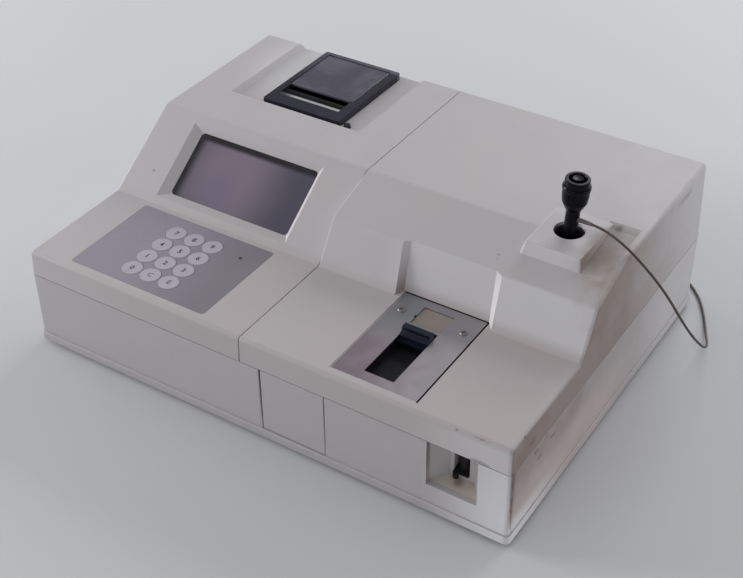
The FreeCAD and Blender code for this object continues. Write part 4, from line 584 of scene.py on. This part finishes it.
def lamp_lens():
    """The unlit status lamp."""
    f = Finish("lamp_lens", (0.085, 0.055, 0.060), roughness=0.25, Coat_Weight=0.4)
    f.tint((0.04, 0.03, 0.035), f.ramp(f.noise(900, detail=2), 0.4, 0.6, end=0.4))
    f.done("status_lamp")


overlay_print()
key_cap()
lamp_lens()
ink_dark = ink("ink_dark", (0.012, 0.012, 0.018))
inks = {"key_clear": ink("ink_grey", (0.16, 0.15, 0.17)), "key_enter": ink("ink_teal", (0.035, 0.085, 0.095))}
for node, text in cap_texts.items():
    legend(node, text, inks.get(node, ink_dark))


# Display

def display_glass():
    """Dark violet glass with a painted gleam left of its middle, a faint painted blue reflection low down,
    and painted shadow at its left and top edges.
    """
    low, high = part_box("display_window")
    middle = (low + high) / 2
    shadow = (0.012, 0.011, 0.014)
    f = Finish("display_glass", (0.078, 0.072, 0.104), roughness=0.20, Coat_Weight=0.30, Coat_Roughness=0.10)
    gleam_x = low.x + (high.x - low.x) * 0.38
    # Painted reflection: a soft paler gleam left of the middle
    gleam = f.around((gleam_x, 0, middle.z + 0.003), radius=0.014, soft=0.062, squeeze=(1, 0, 1.25))
    f.tint((0.235, 0.184, 0.240), gleam, f.ramp(f.noise(11, detail=2), 0.25, 0.7, start=1.0, end=0.85))
    # Painted reflection: a faint blue patch low down
    blue_corner = f.around((low.x + 0.045, 0, low.z + 0.009), radius=0.004, soft=0.016, squeeze=(0.8, 0, 1))
    f.tint((0.15, 0.14, 0.24), blue_corner, 0.35)
    # Painted shadow along the left and top edges
    f.tint(shadow, f.before(X, low.x + 0.002, low.x + 0.012))
    f.tint(shadow, f.along(Z, high.z - 0.0050, high.z - 0.0022))
    f.roughen(f.ramp(f.noise(60, detail=5), 0.4, 0.7), 0.27)
    f.bump(f.noise(90, detail=2), distance=0.00003, strength=0.3)
    f.done("display_window")


def black_bezel():
    """Dull black plastic of the display module, the keys' backing and the fan."""
    f = Finish("black_bezel", (0.014, 0.013, 0.016), roughness=0.45)
    f.tint((0.03, 0.028, 0.032), f.ramp(f.noise(200, detail=3), 0.4, 0.7, end=0.4))
    f.bump(f.noise(1200, detail=2), distance=0.00005, strength=0.4)
    f.done("keypad_backer", "display_module", "fan_frame", "fan_rotor")


display_glass()
black_bezel()


# Metals, brushed along the axis whose squeeze is below one

def metal(name, *pieces, color, roughness, squeeze=(1, 1, 1), extra=None):
    f = Finish(name, color, roughness=roughness, metallic=1.0)
    brush = f.noise(900, detail=3, squeeze=squeeze)
    f.tint(shade(color, 0.84), f.ramp(brush, 0.3, 0.7, end=0.22))
    f.tint(shade(color, 0.86), f.ramp(f.noise(18, detail=4), 0.5, 0.8, end=0.18))
    if extra:
        extra(f)
    f.roughen(f.ramp(f.noise(70, detail=5), 0.45, 0.7), min(1.0, roughness * 1.25))
    f.bump(brush, distance=0.00002, strength=0.4)
    f.done(*pieces)


def plate_tones(f):
    """Warm at the front left, cooler behind, paler to the right, with painted highlight at the left and front
    edges.
    """
    low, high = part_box("slide_plate")
    f.tint((0.400, 0.405, 0.425), f.along(Y, -0.145, -0.085))
    f.tint((0.490, 0.455, 0.470), f.along(X, 0.085, 0.155, end=0.75))
    # Painted highlight along the left and front edges
    for axis, edge in ((X, low.x), (Y, low.y)):
        f.tint((0.80, 0.76, 0.78), f.along(axis, edge + 0.0003, edge + 0.0011, start=0.85, end=0.0))


def bar_tones(f):
    """The tear bar shines only along its toothed front part, its rear is painted dark as shade, and its left
    end has painted shadow.
    """
    low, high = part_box("tear_bar")
    shade_from = low.y * 0.30 + high.y * 0.70
    shade_to = low.y * 0.20 + high.y * 0.80
    # Painted shade over the bar's rear part
    f.tint((0.02, 0.019, 0.022), f.along(Y, shade_from, shade_to))
    # Painted shadow at the left end
    f.tint((0.05, 0.048, 0.052), f.along(X, low.x + 0.004, low.x + 0.022, start=0.9, end=0.0))


metal("plate_steel", "slide_plate", color=(0.345, 0.280, 0.318), roughness=0.42, squeeze=(1, 0.04, 1),
      extra=plate_tones)
metal("screw_steel", "plate_screws", "cover_screws", color=(0.36, 0.33, 0.31), roughness=0.38)
metal("bar_steel", "tear_bar", color=(0.82, 0.80, 0.79), roughness=0.36, squeeze=(0.05, 1, 1),
      extra=bar_tones)
metal("zinc_sheet", "rear_panel", "chassis_plate", color=(0.48, 0.48, 0.46), roughness=0.42,
      squeeze=(0.2, 1, 1))
metal("plated_shell", "serial_port", color=(0.55, 0.54, 0.52), roughness=0.28, squeeze=(1, 1, 0.2))
metal("cast_alloy", "power_supply", "rotor_motor", "incubator_rotor", color=(0.42, 0.42, 0.42),
      roughness=0.5)


# Plastics and rubbers, with dust in patches

def plastic(name, *pieces, color, roughness, dust=0.25, grain=900, worn=None, **sockets):
    f = Finish(name, color, roughness=roughness, **sockets)
    dusty = worn or tuple(min(1.0, c * 2.2 + 0.01) for c in color)
    f.tint(dusty, f.ramp(f.noise(45, detail=5), 0.5, 0.78, end=dust))
    f.roughen(f.ramp(f.noise(110, detail=5), 0.42, 0.7), min(1.0, roughness + 0.16))
    f.bump(f.noise(grain, detail=2), distance=0.00003, strength=0.35)
    return f.done(*pieces)


def printer_navy():
    """Navy plastic of the printer, with painted highlight along its rear rail and the rear of its left rail.
    """
    rear_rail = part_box("printer_lid")[1].y
    f = Finish("printer_navy", (0.0145, 0.0140, 0.0250), roughness=0.42, Specular_IOR_Level=0.33)
    f.tint((0.042, 0.042, 0.065), f.ramp(f.noise(45, detail=5), 0.5, 0.78, end=0.3))
    # Painted highlight along the rear rail
    f.tint((0.100, 0.095, 0.125), f.along(Y, rear_rail - 0.0015, rear_rail, end=0.95))
    # Painted highlight on the rear of the left rail
    f.tint((0.080, 0.076, 0.100), f.before(X, -0.160, -0.156), f.along(Y, 0.105, 0.170, end=0.75))
    f.roughen(f.ramp(f.noise(110, detail=5), 0.42, 0.7), 0.58)
    f.bump(f.noise(900, detail=2), distance=0.00003, strength=0.35)
    f.done("printer_housing", "feed_button")


def smoked_lid():
    """Smoked lid with cloudy dust and a few bright specks."""
    f = Finish("smoked_lid", (0.058, 0.052, 0.078), roughness=0.20, Coat_Weight=0.5, Coat_Roughness=0.10)
    f.tint((0.150, 0.140, 0.175), f.ramp(f.noise(20, detail=5, distortion=0.6), 0.42, 0.72, end=0.65))
    f.tint((0.20, 0.19, 0.22), f.ramp(f.cells(260), 0.05, 0.09, start=0.5, end=0.0))
    f.roughen(f.ramp(f.noise(60, detail=5), 0.4, 0.7), 0.34)
    f.bump(f.noise(300, detail=2), distance=0.00002, strength=0.3)
    f.done("printer_lid")


printer_navy()
smoked_lid()
plastic("pusher_navy", "slide_pusher", color=(0.0065, 0.0085, 0.0210), roughness=0.28, dust=0.12,
        Coat_Weight=0.12, Specular_IOR_Level=0.25)
plastic("channel_black", "slide_guide", color=(0.008, 0.0075, 0.010), roughness=0.55, dust=0.15,
        Specular_IOR_Level=0.25)
plastic("satin_black", "pipettor_holder", "pipettor_nozzle", "tip_dock", "power_inlet", "power_rocker",
        "cord_jack", "cord_plug", color=(0.012, 0.012, 0.014), roughness=0.50, dust=0.2,
        Specular_IOR_Level=0.35)
plastic("gloss_black", "pipettor_body", "pipettor_ring", "pipettor_button",
        color=(0.0036, 0.0036, 0.0055), roughness=0.24, dust=0.06, Coat_Weight=0.07,
        Coat_Roughness=0.10, Specular_IOR_Level=0.10)
plastic("platen_rubber", "platen_roller", color=(0.010, 0.010, 0.011), roughness=0.85, dust=0.2,
        Specular_IOR_Level=0.2)
plastic("foot_rubber", "rubber_feet", color=(0.025, 0.024, 0.024), roughness=0.8, dust=0.5)
plastic("gland_grey", "cord_gland", color=(0.165, 0.142, 0.122), roughness=0.55, dust=0.3)
plastic("cream_bed", "slide_bed", color=(0.300, 0.248, 0.222), roughness=0.5, dust=0.55, grain=500,
        worn=(0.20, 0.155, 0.14))
plastic("circuit_board", "main_board", color=(0.03, 0.12, 0.05), roughness=0.4)
cord_jacket = plastic("cord_jacket", color=(0.080, 0.058, 0.047), roughness=0.45, dust=0.35, grain=1400,
        worn=(0.16, 0.135, 0.115))
paint(cord, cord_jacket)


# Floor, world and lights

def add_floor():
    reach = 6.0
    corners = [(-reach, -reach, 0), (reach, -reach, 0), (reach, reach, 0), (-reach, reach, 0)]
    mesh = bpy.data.meshes.new("floor")
    mesh.from_pydata(corners, [], [(0, 1, 2, 3)])
    floor = bpy.data.objects.new("floor", mesh)
    scene.collection.objects.link(floor)
    f = Finish("floor_finish", (0.60, 0.60, 0.61), roughness=0.7)
    f.tint((0.57, 0.575, 0.585), f.ramp(f.noise(3, detail=3), 0.4, 0.7, end=0.2))
    paint(floor, f.done())


def add_world():
    world = bpy.data.worlds.new("studio")
    scene.world = world
    world.use_nodes = True
    background = world.node_tree.nodes["Background"]
    background.inputs["Color"].default_value = (0.93, 0.96, 1.0, 1)
    background.inputs["Strength"].default_value = 0.34


def softbox(name, place, size, power, color=(1, 1, 1), target=(0, 0, 0.1)):
    data = bpy.data.lights.new(name, "AREA")
    data.shape = "RECTANGLE"
    data.size, data.size_y = size
    data.energy = power
    data.color = color
    lamp = bpy.data.objects.new(name, data)
    lamp.location = place
    lamp.rotation_euler = (Vector(target) - Vector(place)).to_track_quat("-Z", "Y").to_euler()
    scene.collection.objects.link(lamp)


add_floor()
add_world()
softbox("left_light", place=(-2.6, -0.8, 0.7), size=(1.2, 0.9), power=48, color=(1.0, 0.99, 0.985))
softbox("left_high_light", place=(-2.4, 0.2, 1.5), size=(1.2, 1.2), power=10)
softbox("rear_light", place=(0.2, 2.6, 1.5), size=(1.8, 1.2), power=40, color=(0.97, 0.98, 1.0))
softbox("fill_light", place=(-0.6, -2.2, 1.6), size=(2.4, 1.6), power=11, color=(0.93, 0.97, 1.0))
softbox("right_light", place=(2.4, 0.6, 0.9), size=(1.6, 1.2), power=8)
softbox("side_light", place=(0.85, 0.75, 0.35), size=(0.4, 0.4), power=0.6, target=(0.25, 0.15, 0.1))
